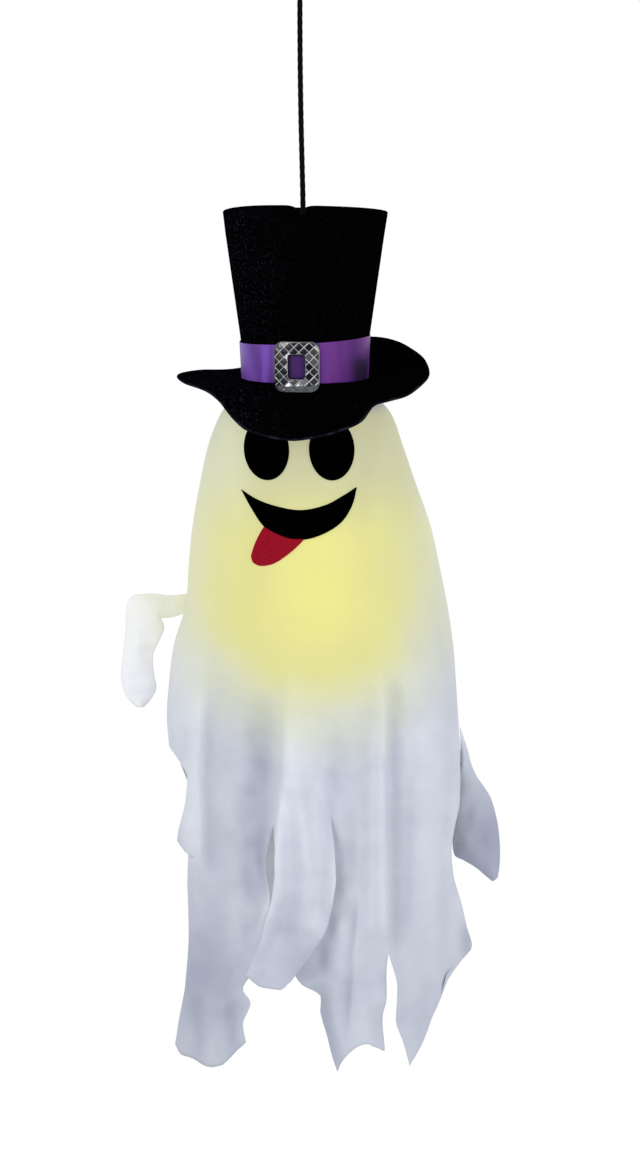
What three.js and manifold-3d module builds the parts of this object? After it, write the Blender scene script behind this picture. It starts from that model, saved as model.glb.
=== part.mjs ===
// A hanging ghost decoration: a cord, a felt top hat, a cloth ghost with a felt face, a wire frame and a
// battery lamp inside. Millimetres, +Z up, the viewer stands at -Y. The origin is the inside top of the
// hanging loop, where a hook carries the whole thing.

import * as THREE from 'three';
import Module from 'manifold-3d';
import { mergeVertices } from 'three/addons/utils/BufferGeometryUtils.js';

const wasm = await Module();
wasm.setup();

// Driving dimensions

const gap = 0.3; // between pieces that touch
const feltGap = 0.5; // between the cloth and the felt shapes on it, so that their facets stay clear

const cord = {
  diameter: 5.5, sides: 8, loopHalfWidth: 8, loopHalfHeight: 14.5, loopTaper: 0.25, knotRadius: 6,
  endKnotRadius: 7,
};
const spinX = 3; // where the lower end of the cord hangs, and the ghost turns
// The cord's free route from the loop's knot to the hat, as sideways place and drop below the origin
const cordRoute = [[0, 80], [0.4, 130], [1.2, 180], [2.3, 225], [spinX, 258], [spinX, 300], [spinX, 360]];

const hat = {
  topDrop: 266.5, // origin to the crown's top rim
  baseDrop: 432, // origin to the crown's lower edge
  axisX: 5,
  baseRadius: 62.3,
  bandTopRadius: 64.3,
  topRadius: 82.5,
  feltThickness: 2,
  topThickness: 2.5,
  topRecess: 1.2,
  segments: 48,
};
const band = { height: 38, lift: 1, thickness: 0.8 };
const buckle = {
  width: 47, height: 52, corner: 10, windowWidth: 16, windowHeight: 23, windowCorner: 2.5, thickness: 2.6,
  shiftX: -8.3, shiftZ: -0.6, count: 32, rings: 2,
};
const brim = { thickness: 2, segments: 48, rings: 5, crowding: 1.3, droop: 0.78, lift: 1.6 };
// The brim's edge, anticlockwise from the right: compass angle, reach from the hat's axis, height over its base
const brimEdge = [
  [0, 124.5, 5], [15, 124, 15], [30, 125, 22], [42, 126, 28], [54, 125, 31], [70, 121, 29], [95, 118, 17],
  [122, 122, 0], [150, 125, 1], [180, 128, 1], [198, 127, -2], [217, 126, -6], [226, 124, -15], [234, 122, -32],
  [241, 120, -43], [262, 118, -52], [276, 118, -49], [288, 117, -43], [299, 118, -34], [305, 119, -20],
  [313, 121, -16], [325, 124, -12], [340, 125, -3],
];

const cloth = { thickness: 1, columns: 22, topHoleRadius: 6, hatClearance: 0.7 };
// The ghost's body from the crown's base down: drop, reach to the left, to the right, to the front or back
const bodyStations = [
  [18, 68, 72, 66], [37, 82, 88, 80], [67, 94, 99, 88], [108, 103, 113, 97], [148, 110, 127, 105],
  [188, 114, 136, 110], [228, 117, 144, 114], [269, 129, 150, 118], [309, 134, 153, 121], [339, 136, 155, 122],
  [369, 134, 157, 122],
];
const sleeveBow = 6; // how far a sleeve bellies forward
const skirt = {
  rows: 11, foldDepth: 9, foldPitch: 58, foldPhase: 0.6, foldStart: 200, foldReach: 200, seamGap: 0.3,
};

const felt = { thickness: 1.4, cell: 9, cornerShare: 0.012 };
const eye = { width: 44.5, height: 60, drop: 64, leftX: -33.8, rightX: 30 };
// The mouth, as places across (from the origin's line) and drops below the crown's base
const mouthTop = [[-58, 104.6], [-43, 113.4], [-24, 119.8], [0.6, 123.5], [25, 118.7], [44, 109], [56, 101.6]];
const mouthLow = [
  [-58, 104.6], [-47, 124], [-35, 140.6], [-21, 148.2], [-9, 152], [8, 152], [27, 145.3], [42, 134.8],
  [51.5, 119.4], [56, 101.6],
];
// The tongue's root along the mouth, then its left and right edges, which meet round the tip
const tongueRoot = [[-34.5, 142], [-21, 149.4], [-9, 153.2], [4, 153.2]];
const tongueTip = [[-48, 171], [-43, 177], [-36, 178], [-19, 173]];

const hub = { radius: 48, thickness: 6, crownSink: 13, cordHole: 4.2 };
const rib = {
  diameter: 2.6, inset: 6, count: 4, startRadius: 42, straightTop: 5, straightFoot: 12, sides: 6, steps: 16,
};
const hoop = { diameter: 3.4, drop: 309, segments: 40, sides: 6 };

const bracket = { width: 14, thickness: 2, legSpread: 34, flange: 8, drop: 20 };
const cell = { diameter: 10.5, length: 44.5, nubDiameter: 3.8, nubLength: 0.9, pitch: 11.2, count: 3 };
const box = { wall: 1.6, headWall: 7, side: 2.6, backSpace: 0.6, headSpace: 0.4 };
const plate = { thickness: 0.5, margin: 1.5, inset: 0.5 };
const cover = { thickness: 1.8 };
const screw = { diameter: 2.6, headDiameter: 6, headHeight: 1.6, bite: 4, holeClearance: 0.5, slotWidth: 0.9 };
const slider = { knobWidth: 3, knobReach: 4, plateWidth: 8, plateThickness: 1, length: 5, travel: 4 };
const stem = { diameter: 12, wall: 1.5, length: 78 };
const globe = { radius: 52, wall: 1.5, neckRadius: 14, neckHeight: 7, neckLap: 2, rings: 9, segments: 24 };
const cap = { thickness: 4, overhang: 1.5 };
const board = { radius: 10.5, thickness: 1.6 };
const led = { diameter: 5, height: 8, pitchRadius: 5, count: 3 };
const lead = { diameter: 3, sides: 8 };

// Places worked out from the sizes

const cordRadius = cord.diameter / 2;
const loopTop = cordRadius; // centreline, so that the loop's inside top is the origin
const loopLow = loopTop - 2 * cord.loopHalfHeight;
const knotZ = loopLow - cordRadius - gap - cord.knotRadius;
const hatBaseZ = -hat.baseDrop;
const hatTopZ = -hat.topDrop;
const hubTopZ = hatBaseZ + hub.crownSink;
const hubLowZ = hubTopZ - hub.thickness;
// The end knot bears on the lower edge of the hub's hole
const endKnotZ = hubLowZ - Math.sqrt((cord.endKnotRadius + gap) ** 2 - hub.cordHole ** 2);
const cordEndZ = endKnotZ + cord.endKnotRadius + gap;
const bracketLowZ = hubLowZ - gap - bracket.drop - bracket.thickness;

const innerWidth = (cell.count - 1) * cell.pitch + cell.diameter + 2 * box.side;
const innerDepth = cell.diameter + 2 * box.backSpace;
const innerHeight = cell.length + 2 * plate.thickness + 4 * gap + box.headSpace;
const boxWidth = innerWidth + 2 * box.wall;
const boxDepth = innerDepth + box.wall;
const boxHeight = innerHeight + box.wall + box.headWall;
const boxTopZ = bracketLowZ - gap;
const boxLowZ = boxTopZ - boxHeight;
const boxBackY = boxDepth / 2;
const boxFrontY = -boxDepth / 2;
const cellY = boxFrontY + box.wall + box.backSpace + cell.diameter / 2;
const cavityLowZ = boxLowZ + box.wall;
const coverY = boxBackY + gap;
const screwZ = boxTopZ - box.headWall / 2;
const stemTopZ = boxLowZ - gap;
const stemLowZ = stemTopZ - stem.length;
const boardTopZ = stemLowZ - gap;
const neckTopZ = stemLowZ + globe.neckLap;
const globeZ = neckTopZ - globe.neckHeight - Math.sqrt(globe.radius ** 2 - globe.neckRadius ** 2);

// Materials

const paint = (color, roughness, metalness = 0) => (
  new THREE.MeshStandardMaterial({ color, roughness, metalness })
);
const materials = {
  cord: paint(0x0a0a0b, 0.85),
  hatFelt: paint(0x08080b, 0.95),
  satin: paint(0x5c2f93, 0.35),
  chrome: paint(0xc9cbd0, 0.15, 1),
  faceFelt: paint(0x0b0a10, 0.95),
  tongueFelt: paint(0xa4192a, 0.9),
  cloth: paint(0xdfe2ee, 0.9),
  frame: paint(0xe6e6e2, 0.5),
  wire: paint(0xd9dadd, 0.35, 0.8),
  plastic: paint(0xf0efe9, 0.45),
  cell: paint(0x3d4148, 0.4, 0.3),
  brass: paint(0xc8a75a, 0.3, 1),
  steel: paint(0xb8babd, 0.3, 1),
  board: paint(0x2f6b46, 0.5),
  led: paint(0xfff3b0, 0.15),
  diffuser: paint(0xf3edb4, 0.55),
  lead: paint(0x1a1a1c, 0.6),
};

const ghost = new THREE.Group();

function add(name, geometry, material) {
  const mesh = new THREE.Mesh(geometry, material);
  mesh.name = name;
  ghost.add(mesh);
  return mesh;
}

// Shape helpers

const mix = (a, b, t) => a + (b - a) * t;

// A smooth curve through rows of numbers, read by the first number of each row
function smoothTable(rows) {
  return (at) => {
    let k = 0;
    while (k < rows.length - 2 && at > rows[k + 1][0]) k += 1;
    const before = rows[Math.max(0, k - 1)];
    const a = rows[k];
    const b = rows[k + 1];
    const after = rows[Math.min(rows.length - 1, k + 2)];
    const span = b[0] - a[0];
    const t = Math.min(1, Math.max(0, (at - a[0]) / span));
    return a.slice(1).map((value, n) => {
      const slopeA = k === 0 ? (b[n + 1] - value) / span : (b[n + 1] - before[n + 1]) / (b[0] - before[0]);
      const slopeB = after === b ? (b[n + 1] - value) / span : (after[n + 1] - value) / (after[0] - a[0]);
      const t2 = t * t;
      const t3 = t2 * t;
      return (2 * t3 - 3 * t2 + 1) * value + (t3 - 2 * t2 + t) * span * slopeA
        + (3 * t2 - 2 * t3) * b[n + 1] + (t3 - t2) * span * slopeB;
    });
  };
}

// Evenly spaced points along a run of straight pieces
function along(points, count) {
  const path = new THREE.CurvePath();
  for (let k = 1; k < points.length; k += 1) path.add(new THREE.LineCurve3(points[k - 1], points[k]));
  return Array.from({ length: count }, (_, k) => path.getPointAt(k / (count - 1)));
}

function turned(profile, segments, x, y, z) {
  const geometry = new THREE.LatheGeometry(profile.map(([r, h]) => new THREE.Vector2(r, h)), segments);
  geometry.rotateX(Math.PI / 2);
  geometry.translate(x, y, z);
  return outward(geometry);
}

// Turns a closed mesh the right way out if its faces point in
function outward(geometry) {
  const mesh = mergedByPlace(geometry);
  const place = mesh.attributes.position;
  const index = mesh.index.array;
  const corner = [new THREE.Vector3(), new THREE.Vector3(), new THREE.Vector3()];
  let volume = 0;
  for (let k = 0; k < index.length; k += 3) {
    corner.forEach((v, n) => v.fromBufferAttribute(place, index[k + n]));
    volume += corner[0].dot(corner[1].clone().cross(corner[2]));
  }
  if (volume < 0) {
    for (let k = 0; k < index.length; k += 3) [index[k], index[k + 1]] = [index[k + 1], index[k]];
  }
  return mesh;
}

function mergedByPlace(geometry) {
  const bare = new THREE.BufferGeometry();
  bare.setAttribute('position', geometry.attributes.position.clone());
  if (geometry.index) bare.setIndex(geometry.index.clone());
  const mesh = mergeVertices(bare, 1e-4);
  const kept = [];
  const index = mesh.index.array;
  for (let k = 0; k < index.length; k += 3) {
    const [a, b, c] = [index[k], index[k + 1], index[k + 2]];
    if (a !== b && b !== c && c !== a) kept.push(a, b, c);
  }
  mesh.setIndex(kept);
  return mesh;
}

function smoothCurve(points) {
  return new THREE.CatmullRomCurve3(points.map((p) => new THREE.Vector3(...p)), false, 'centripetal');
}

function tube(points, diameter, sides, steps) {
  const section = new THREE.Shape();
  for (let k = 0; k < sides; k += 1) {
    const turn = (2 * Math.PI * k) / sides;
    const [x, y] = [(diameter / 2) * Math.cos(turn), (diameter / 2) * Math.sin(turn)];
    if (k === 0) section.moveTo(x, y);
    else section.lineTo(x, y);
  }
  const extrudePath = smoothCurve(points);
  return outward(new THREE.ExtrudeGeometry(section, { steps, extrudePath, bevelEnabled: false }));
}

// A tube that closes on itself; its section stays upright, so it suits rings that lie or stand flat
function ringTube(centres, side, up, diameter, sides) {
  const place = [];
  const index = [];
  const count = centres.length;
  centres.forEach((centre, k) => {
    for (let n = 0; n < sides; n += 1) {
      const turn = (2 * Math.PI * n) / sides;
      const point = centre.clone()
        .addScaledVector(side(k), (diameter / 2) * Math.cos(turn))
        .addScaledVector(up, (diameter / 2) * Math.sin(turn));
      place.push(point.x, point.y, point.z);
      const a = k * sides + n;
      const b = k * sides + ((n + 1) % sides);
      const c = ((k + 1) % count) * sides + ((n + 1) % sides);
      const d = ((k + 1) % count) * sides + n;
      index.push(a, b, c, a, c, d);
    }
  });
  const geometry = new THREE.BufferGeometry();
  geometry.setAttribute('position', new THREE.Float32BufferAttribute(place, 3));
  geometry.setIndex(index);
  return outward(geometry);
}

// A sheet: points with faces of three or four corners, grown to a solid of even thickness. The points lie on
// its middle surface, and every edge that only one face uses gets a wall.
class Sheet {
  constructor(thickness) {
    this.thickness = thickness;
    this.points = [];
    this.faces = [];
    this.flatY = new Set();
    this.known = new Map();
  }

  point(key, make) {
    if (!this.known.has(key)) {
      this.known.set(key, this.points.length);
      this.points.push(make());
    }
    return this.known.get(key);
  }

  face(...corners) {
    this.faces.push(corners);
  }

  normals() {
    const normals = this.points.map(() => new THREE.Vector3());
    for (const face of this.faces) {
      const [a, b, c] = face.map((n) => this.points[n]);
      const d = face.length === 4 ? this.points[face[3]] : a;
      const normal = new THREE.Vector3().subVectors(c, a).cross(new THREE.Vector3().subVectors(d, b));
      for (const n of face) normals[n].add(normal);
    }
    return normals.map((normal, n) => {
      if (this.flatY.has(n) && Math.abs(this.points[n].y) < this.thickness) normal.y = 0;
      return normal.normalize();
    });
  }

  solid() {
    const normals = this.normals();
    const place = [];
    for (const side of [0.5, -0.5]) {
      this.points.forEach((p, n) => {
        const q = p.clone().addScaledVector(normals[n], side * this.thickness);
        place.push(q.x, q.y, q.z);
      });
    }
    const under = this.points.length;
    const index = [];
    const edges = new Map();
    for (const face of this.faces) {
      for (let k = 2; k < face.length; k += 1) {
        index.push(face[0], face[k - 1], face[k]);
        index.push(under + face[0], under + face[k], under + face[k - 1]);
      }
      face.forEach((a, k) => {
        const b = face[(k + 1) % face.length];
        if (!edges.delete(`${b} ${a}`)) edges.set(`${a} ${b}`, [a, b]);
      });
    }
    for (const [a, b] of edges.values()) index.push(b, a, under + a, b, under + a, under + b);
    const geometry = new THREE.BufferGeometry();
    geometry.setAttribute('position', new THREE.Float32BufferAttribute(place, 3));
    geometry.setIndex(index);
    return outward(geometry);
  }
}

function toManifold(geometry) {
  const mesh = mergedByPlace(geometry);
  return new wasm.Manifold(new wasm.Mesh({
    numProp: 3,
    vertProperties: new Float32Array(mesh.attributes.position.array),
    triVerts: new Uint32Array(mesh.index.array),
  }));
}

function fromManifold(solid) {
  const { vertProperties, triVerts } = solid.getMesh();
  const geometry = new THREE.BufferGeometry();
  geometry.setAttribute('position', new THREE.Float32BufferAttribute(vertProperties, 3));
  geometry.setIndex(Array.from(triVerts));
  return geometry;
}

function cut(geometry, ...tools) {
  return fromManifold(tools.reduce((solid, tool) => solid.subtract(toManifold(tool)), toManifold(geometry)));
}

// A block between two corners
function block([x0, y0, z0], [x1, y1, z1]) {
  const geometry = new THREE.BoxGeometry(x1 - x0, y1 - y0, z1 - z0);
  return geometry.translate((x0 + x1) / 2, (y0 + y1) / 2, (z0 + z1) / 2);
}

// A round bar along Y
function barY(radius, y0, y1, x, z, segments = 20) {
  return new THREE.CylinderGeometry(radius, radius, y1 - y0, segments).translate(x, (y0 + y1) / 2, z);
}

function rod(radius, z0, z1, x, y, segments = 24) {
  return new THREE.CylinderGeometry(radius, radius, z1 - z0, segments)
    .rotateX(Math.PI / 2)
    .translate(x, y, (z0 + z1) / 2);
}

// The cord and its knots

function addCord() {
  const side = new THREE.Vector3();
  const loopCount = 28;
  const loopAt = (k) => (2 * Math.PI * k) / loopCount;
  const loop = Array.from({ length: loopCount }, (_, k) => new THREE.Vector3(
    cord.loopHalfWidth * Math.sin(loopAt(k)) * (1 + cord.loopTaper * Math.cos(loopAt(k))),
    0,
    loopTop - cord.loopHalfHeight + cord.loopHalfHeight * Math.cos(loopAt(k)),
  ));
  const outSide = (k) => {
    const before = loop[(k + loopCount - 1) % loopCount];
    const after = loop[(k + 1) % loopCount];
    side.subVectors(after, before).normalize();
    return new THREE.Vector3(-side.z, 0, side.x);
  };
  const loopTube = ringTube(loop, outSide, new THREE.Vector3(0, 1, 0), cord.diameter, cord.sides);
  add('hang_loop', loopTube, materials.cord);
  const knot = new THREE.SphereGeometry(cord.knotRadius, 16, 10);
  add('loop_knot', outward(knot.translate(0, 0, knotZ)), materials.cord);
  const startZ = knotZ - cord.knotRadius - gap;
  const route = [
    [0, 0, startZ],
    ...cordRoute.map(([x, drop]) => [x, 0, -drop]),
    [spinX, 0, cordEndZ],
  ];
  add('hang_cord', tube(route, cord.diameter, cord.sides, 36), materials.cord);
  const endKnot = new THREE.SphereGeometry(cord.endKnotRadius, 16, 10);
  add('cord_end_knot', outward(endKnot.translate(spinX, 0, endKnotZ)), materials.cord);
}

// The hat

function crownRadius(z) {
  const bandTop = hatBaseZ + band.lift + band.height;
  return z < bandTop
    ? mix(hat.baseRadius, hat.bandTopRadius, (z - hatBaseZ) / (bandTop - hatBaseZ))
    : mix(hat.bandTopRadius, hat.topRadius, (z - bandTop) / (hatTopZ - bandTop));
}

function addHat() {
  const bandLow = hatBaseZ + band.lift;
  const bandTop = bandLow + band.height;
  const wall = [hatBaseZ, bandTop, hatTopZ];
  const crown = [
    ...wall.map((z) => [crownRadius(z), z]),
    ...wall.toReversed().map((z) => [crownRadius(z) - hat.feltThickness, z]),
  ];
  crown.push(crown[0]);
  add('hat_crown', turned(crown, hat.segments, hat.axisX, 0, 0), materials.hatFelt);

  const topZ = hatTopZ - hat.topRecess;
  const topRadius = crownRadius(topZ - hat.topThickness) - hat.feltThickness - 2 * gap;
  const disc = rod(topRadius, topZ - hat.topThickness, topZ, hat.axisX, 0, hat.segments);
  const hole = rod(cordRadius + 1.5, topZ - 2 * hat.topThickness, topZ + hat.topThickness, spinX, 0);
  add('hat_top', cut(disc, hole), materials.hatFelt);

  const inside = (z) => crownRadius(z) + 2 * gap;
  add('hat_band', turned([
    [inside(bandLow), bandLow],
    [inside(bandLow) + band.thickness, bandLow],
    [inside(bandTop) + band.thickness, bandTop],
    [inside(bandTop), bandTop],
    [inside(bandLow), bandLow],
  ], hat.segments, hat.axisX, 0, 0), materials.satin);

  add('hat_brim', brimSolid(), materials.hatFelt);
  add('hat_buckle', buckleSolid((bandLow + bandTop) / 2), materials.chrome);
}

// The brim runs outward from the crown's lower edge. Its height follows the share of the reach to a power:
// where it droops it falls at once, and where it lifts it leaves the crown flat.
function brimSolid() {
  const closed = [...brimEdge, [brimEdge[0][0] + 360, ...brimEdge[0].slice(1)]];
  const edgeAt = smoothTable(closed);
  const sheet = new Sheet(brim.thickness);
  const innerRadius = hat.baseRadius - gap;
  const rootZ = hatBaseZ - gap - brim.thickness / 2;
  const at = (k, ring) => sheet.point(`${k % brim.segments} ${ring}`, () => {
    const degrees = (360 * (k % brim.segments)) / brim.segments;
    const [reach, height] = edgeAt(degrees);
    const share = (ring / brim.rings) ** brim.crowding;
    const radius = mix(innerRadius, reach, share);
    const turn = THREE.MathUtils.degToRad(degrees);
    const z = mix(rootZ, hatBaseZ + height, share ** (height < 0 ? brim.droop : brim.lift));
    return new THREE.Vector3(hat.axisX + radius * Math.cos(turn), radius * Math.sin(turn), z);
  });
  for (let k = 0; k < brim.segments; k += 1) {
    for (let ring = 0; ring < brim.rings; ring += 1) {
      sheet.face(at(k, ring), at(k, ring + 1), at(k + 1, ring + 1), at(k + 1, ring));
    }
  }
  return sheet.solid();
}

// A point on a rounded rectangle's outline, by a share of a full turn
function roundedAt(share, width, height, corner) {
  const turn = 2 * Math.PI * share;
  const [c, s] = [Math.cos(turn), Math.sin(turn)];
  const scale = Math.min((width / 2) / Math.max(Math.abs(c), 1e-9), (height / 2) / Math.max(Math.abs(s), 1e-9));
  const [x, z] = [c * scale, s * scale];
  const [cx, cz] = [Math.sign(x) * (width / 2 - corner), Math.sign(z) * (height / 2 - corner)];
  if (Math.abs(x) <= Math.abs(cx) || Math.abs(z) <= Math.abs(cz)) return [x, z];
  const away = Math.hypot(x - cx, z - cz);
  return [cx + ((x - cx) / away) * corner, cz + ((z - cz) / away) * corner];
}

function buckleSolid(middleZ) {
  const sheet = new Sheet(buckle.thickness);
  const bandFace = crownRadius(middleZ + buckle.height / 2) + 2 * gap + band.thickness;
  const bend = bandFace + 2 * gap + buckle.thickness / 2;
  const { count, rings } = buckle;
  const at = (k, ring) => sheet.point(`${k % count} ${ring}`, () => {
    const outer = roundedAt((k % count) / count, buckle.width, buckle.height, buckle.corner);
    const inner = roundedAt((k % count) / count, buckle.windowWidth, buckle.windowHeight, buckle.windowCorner);
    const x = mix(inner[0], outer[0], ring / rings) + buckle.shiftX;
    const z = mix(inner[1], outer[1], ring / rings) + middleZ + buckle.shiftZ;
    return new THREE.Vector3(hat.axisX + bend * Math.sin(x / bend), -bend * Math.cos(x / bend), z);
  });
  for (let k = 0; k < count; k += 1) {
    for (let ring = 0; ring < rings; ring += 1) {
      sheet.face(at(k, ring), at(k, ring + 1), at(k + 1, ring + 1), at(k + 1, ring));
    }
  }
  return sheet.solid();
}

// The ghost's cloth

const bodyAt = smoothTable(bodyStations);

// The smooth body at a drop below the crown's base: its middle, its half width and its depth. Above the first
// station it follows the hub and the crown's lower edge.
function bodyRow(drop) {
  const [left, right, depth] = bodyAt(drop);
  return { x: spinX + (right - left) / 2, halfWidth: (left + right) / 2, depth };
}

// How far the body's front lies from its middle plane, at a place across and a drop below the crown's base
function frontY(x, drop) {
  const row = bodyRow(drop);
  const share = (x - row.x) / row.halfWidth;
  return row.depth * Math.sqrt(Math.max(0.0004, 1 - share * share));
}

// Rows of the cloth from the hole round the cord to the skirt's top
function clothRows() {
  const hatRadius = hat.baseRadius - hat.feltThickness - cloth.hatClearance - cloth.thickness / 2;
  const topZ = hubTopZ + gap + cloth.thickness / 2;
  const round = (x, radius, z) => ({ x, halfWidth: radius, depth: radius, z });
  return [
    round(spinX, cloth.topHoleRadius, topZ),
    round(mix(spinX, hat.axisX, 0.6), hub.radius / 2, topZ),
    round(hat.axisX, hub.radius + 1, topZ),
    round(hat.axisX, hatRadius, hatBaseZ),
    ...bodyStations.map(([drop]) => ({ ...bodyRow(drop), z: hatBaseZ - drop })),
  ];
}

// Soft folds that start under the lamp and deepen to the skirt
function foldAt(x, drop) {
  const strength = Math.min(1, Math.max(0, (drop - skirt.foldStart) / skirt.foldReach));
  const wave = Math.cos((2 * Math.PI * x) / skirt.foldPitch + skirt.foldPhase);
  return skirt.foldDepth * strength * strength * wave;
}

// One half of the cloth: a yoke from the cord's hole to the skirt, then strips that hang from it. Each strip is
// a patch between its two edges, the skirt's row above and its own torn hem below. Neighbours share their edge
// down to where the slit between them starts. facing is 1 for the front and -1 for the back.
function drapeSolid(strips, facing) {
  const sheet = new Sheet(cloth.thickness);
  const rows = clothRows();
  const yoke = rows.length - 1;
  const yokePoint = (i, j) => {
    const row = rows[j];
    const turn = Math.PI * (1 - i / cloth.columns);
    const drop = hatBaseZ - row.z;
    const x = row.x + row.halfWidth * Math.cos(turn);
    const y = row.depth * Math.sin(turn) + foldAt(x, drop) * Math.sin(turn);
    return new THREE.Vector3(x, -facing * Math.max(y, skirt.seamGap / 2), row.z);
  };
  const seam = (n, i) => {
    if (i === 0 || i === cloth.columns) sheet.flatY.add(n);
    return n;
  };
  const at = (i, j) => seam(sheet.point(`${i} ${j}`, () => yokePoint(i, j)), i);
  const quad = (a, b, c, d) => (facing > 0 ? sheet.face(a, b, c, d) : sheet.face(a, d, c, b));
  for (let j = 0; j < yoke; j += 1) {
    for (let i = 0; i < cloth.columns; i += 1) quad(at(i, j), at(i, j + 1), at(i + 1, j + 1), at(i + 1, j));
  }

  const skirtDrop = bodyStations.at(-1)[0];
  const place = ([x, drop, forward = 0]) => {
    const fold = foldAt(x, drop);
    const y = Math.max(frontY(x, Math.min(drop, skirtDrop)) + fold + forward, skirt.seamGap / 2);
    return new THREE.Vector3(x, -facing * y, hatBaseZ - drop);
  };
  strips.forEach((strip, s) => {
    const columns = strip.to - strip.from;
    const before = strips[s - 1];
    const edge = (points, column, slitRow, shared) => {
      const top = yokePoint(column, yoke);
      const upper = shared ? along([top, ...shared.map(place)], slitRow + 1) : [top];
      const lowerPoints = [upper.at(-1), ...points.map(place)];
      return [...upper.slice(0, -1), ...along(lowerPoints, skirt.rows + 1 - (upper.length - 1))];
    };
    const leftRow = before ? before.slitRow : 0;
    const rightRow = strip.slit ? strip.slitRow : 0;
    const left = edge(strip.left, strip.from, leftRow, before?.slit);
    const right = edge(strip.right, strip.to, rightRow, strip.slit);
    const hem = along([left.at(-1), ...strip.hem.map(place), right.at(-1)], columns + 1);
    const patch = (i, j) => {
      const [u, v] = [i / columns, j / skirt.rows];
      const top = yokePoint(strip.from + i, yoke);
      const point = new THREE.Vector3()
        .addScaledVector(left[j], 1 - u).addScaledVector(right[j], u)
        .addScaledVector(top, 1 - v).addScaledVector(hem[i], v)
        .addScaledVector(left[0], -(1 - u) * (1 - v)).addScaledVector(right[0], -u * (1 - v))
        .addScaledVector(left.at(-1), -(1 - u) * v).addScaledVector(right.at(-1), -u * v);
      return point;
    };
    const name = (i, j) => {
      if (j === 0) return `${strip.from + i} ${yoke}`;
      if (i === 0 && j <= leftRow) return `slit ${s - 1} ${j}`;
      if (i === columns && j <= rightRow) return `slit ${s} ${j}`;
      return `strip ${s} ${i} ${j}`;
    };
    const hang = (i, j) => {
      const n = sheet.point(name(i, j), () => patch(i, j));
      if ((i === 0 && strip.from === 0) || (i === columns && strip.to === cloth.columns)) sheet.flatY.add(n);
      return n;
    };
    for (let j = 0; j < skirt.rows; j += 1) {
      for (let i = 0; i < columns; i += 1) quad(hang(i, j), hang(i, j + 1), hang(i + 1, j + 1), hang(i + 1, j));
    }
  });
  return sheet.solid();
}

// The strips, left to right as seen from the front. Each corner is a place across, a drop below the crown's
// base and, where given, how far it stands forward. slit runs from the skirt's row to where the slit starts.
const frontStrips = [
  {
    from: 0, to: 7, slit: [[-26, 400, 4], [-26, 437, 6]], slitRow: 3,
    left: [
      [-122, 381, 12], [-112, 394, -22], [-112, 509, -24], [-111, 559, -20], [-115, 606, -14], [-125, 667, -8],
    ],
    hem: [[-119, 675, -8], [-89, 684], [-78, 680]],
    right: [[-40, 500, -8], [-54, 588, -8], [-58, 601], [-49, 615], [-57, 636], [-54, 655]],
  },
  {
    from: 7, to: 13, slit: [[24, 395, 8], [31, 426, 10]], slitRow: 3,
    left: [[-25, 465, 20], [-26, 496, 24], [-40, 551, 28], [-54, 585, 30]],
    hem: [[-40, 595, 30], [-25, 598, 30], [-16, 595, 30]],
    right: [[36, 490, 22], [25, 542, 28], [10, 562, 30], [-6, 583, 30]],
  },
  {
    from: 13, to: 18, slit: [[80, 440, 4], [88, 565, 4]], slitRow: 7,
    left: [[20, 500, 0], [6, 560, -4], [6, 598, -6], [22, 608, -6], [21, 623, -6], [30, 655, -4], [37, 683]],
    hem: [[44, 668], [62, 655]],
    right: [[86, 586], [86, 614], [82, 631], [84, 665]],
  },
  {
    from: 18, to: 22,
    left: [[97, 597], [96, 637], [102, 652], [109, 679]],
    hem: [[122, 658], [140, 618]],
    right: [[160, 423], [151, 481], [167, 551], [172, 568], [171, 575], [157, 584], [147, 595]],
  },
];
const backStrips = [
  {
    from: 0, to: 6, slit: [[-50, 405, 3], [-52, 475, 4]], slitRow: 4,
    left: [[-124, 397], [-120, 435], [-122, 471]],
    hem: [[-104, 505], [-92, 553], [-80, 565]],
    right: [[-60, 515], [-66, 550]],
  },
  {
    from: 6, to: 12, slit: [[18, 405, 3], [16, 455, 4]], slitRow: 3,
    left: [[-46, 525], [-48, 585], [-40, 625]],
    hem: [[-28, 645], [-8, 615]],
    right: [[12, 505], [8, 565], [2, 605]],
  },
  {
    from: 12, to: 17, slit: [[84, 415, 2], [86, 485, 3]], slitRow: 4,
    left: [[22, 505], [26, 575], [30, 615]],
    hem: [[44, 660], [60, 645]],
    right: [[80, 545], [76, 605]],
  },
  {
    from: 17, to: 22,
    left: [[96, 535], [100, 585]],
    hem: [[112, 605], [126, 575]],
    right: [[158, 435], [146, 485], [142, 535]],
  },
];

// A sleeve is one flat piece of cloth sewn to a side seam: rows of its two edges, root to tip, each row a place
// across and a drop for the inner and the outer edge, and how far the row stands towards the back.
function sleeveSolid(rows, across) {
  const sheet = new Sheet(cloth.thickness);
  const at = (i, j) => sheet.point(`${i} ${j}`, () => {
    const [x0, drop0, x1, drop1, y] = rows[j];
    const u = i / across;
    const bow = sleeveBow * Math.sin(Math.PI * u) * Math.min(1, j / 2);
    return new THREE.Vector3(mix(x0, x1, u), y - bow, hatBaseZ - mix(drop0, drop1, u));
  });
  for (let j = 0; j < rows.length - 1; j += 1) {
    for (let i = 0; i < across; i += 1) sheet.face(at(i, j), at(i + 1, j), at(i + 1, j + 1), at(i, j + 1));
  }
  return sheet.solid();
}

function addCloth() {
  add('drape_front', drapeSolid(frontStrips, 1), materials.cloth);
  add('drape_back', drapeSolid(backStrips, -1), materials.cloth);
}

// The felt face

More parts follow.
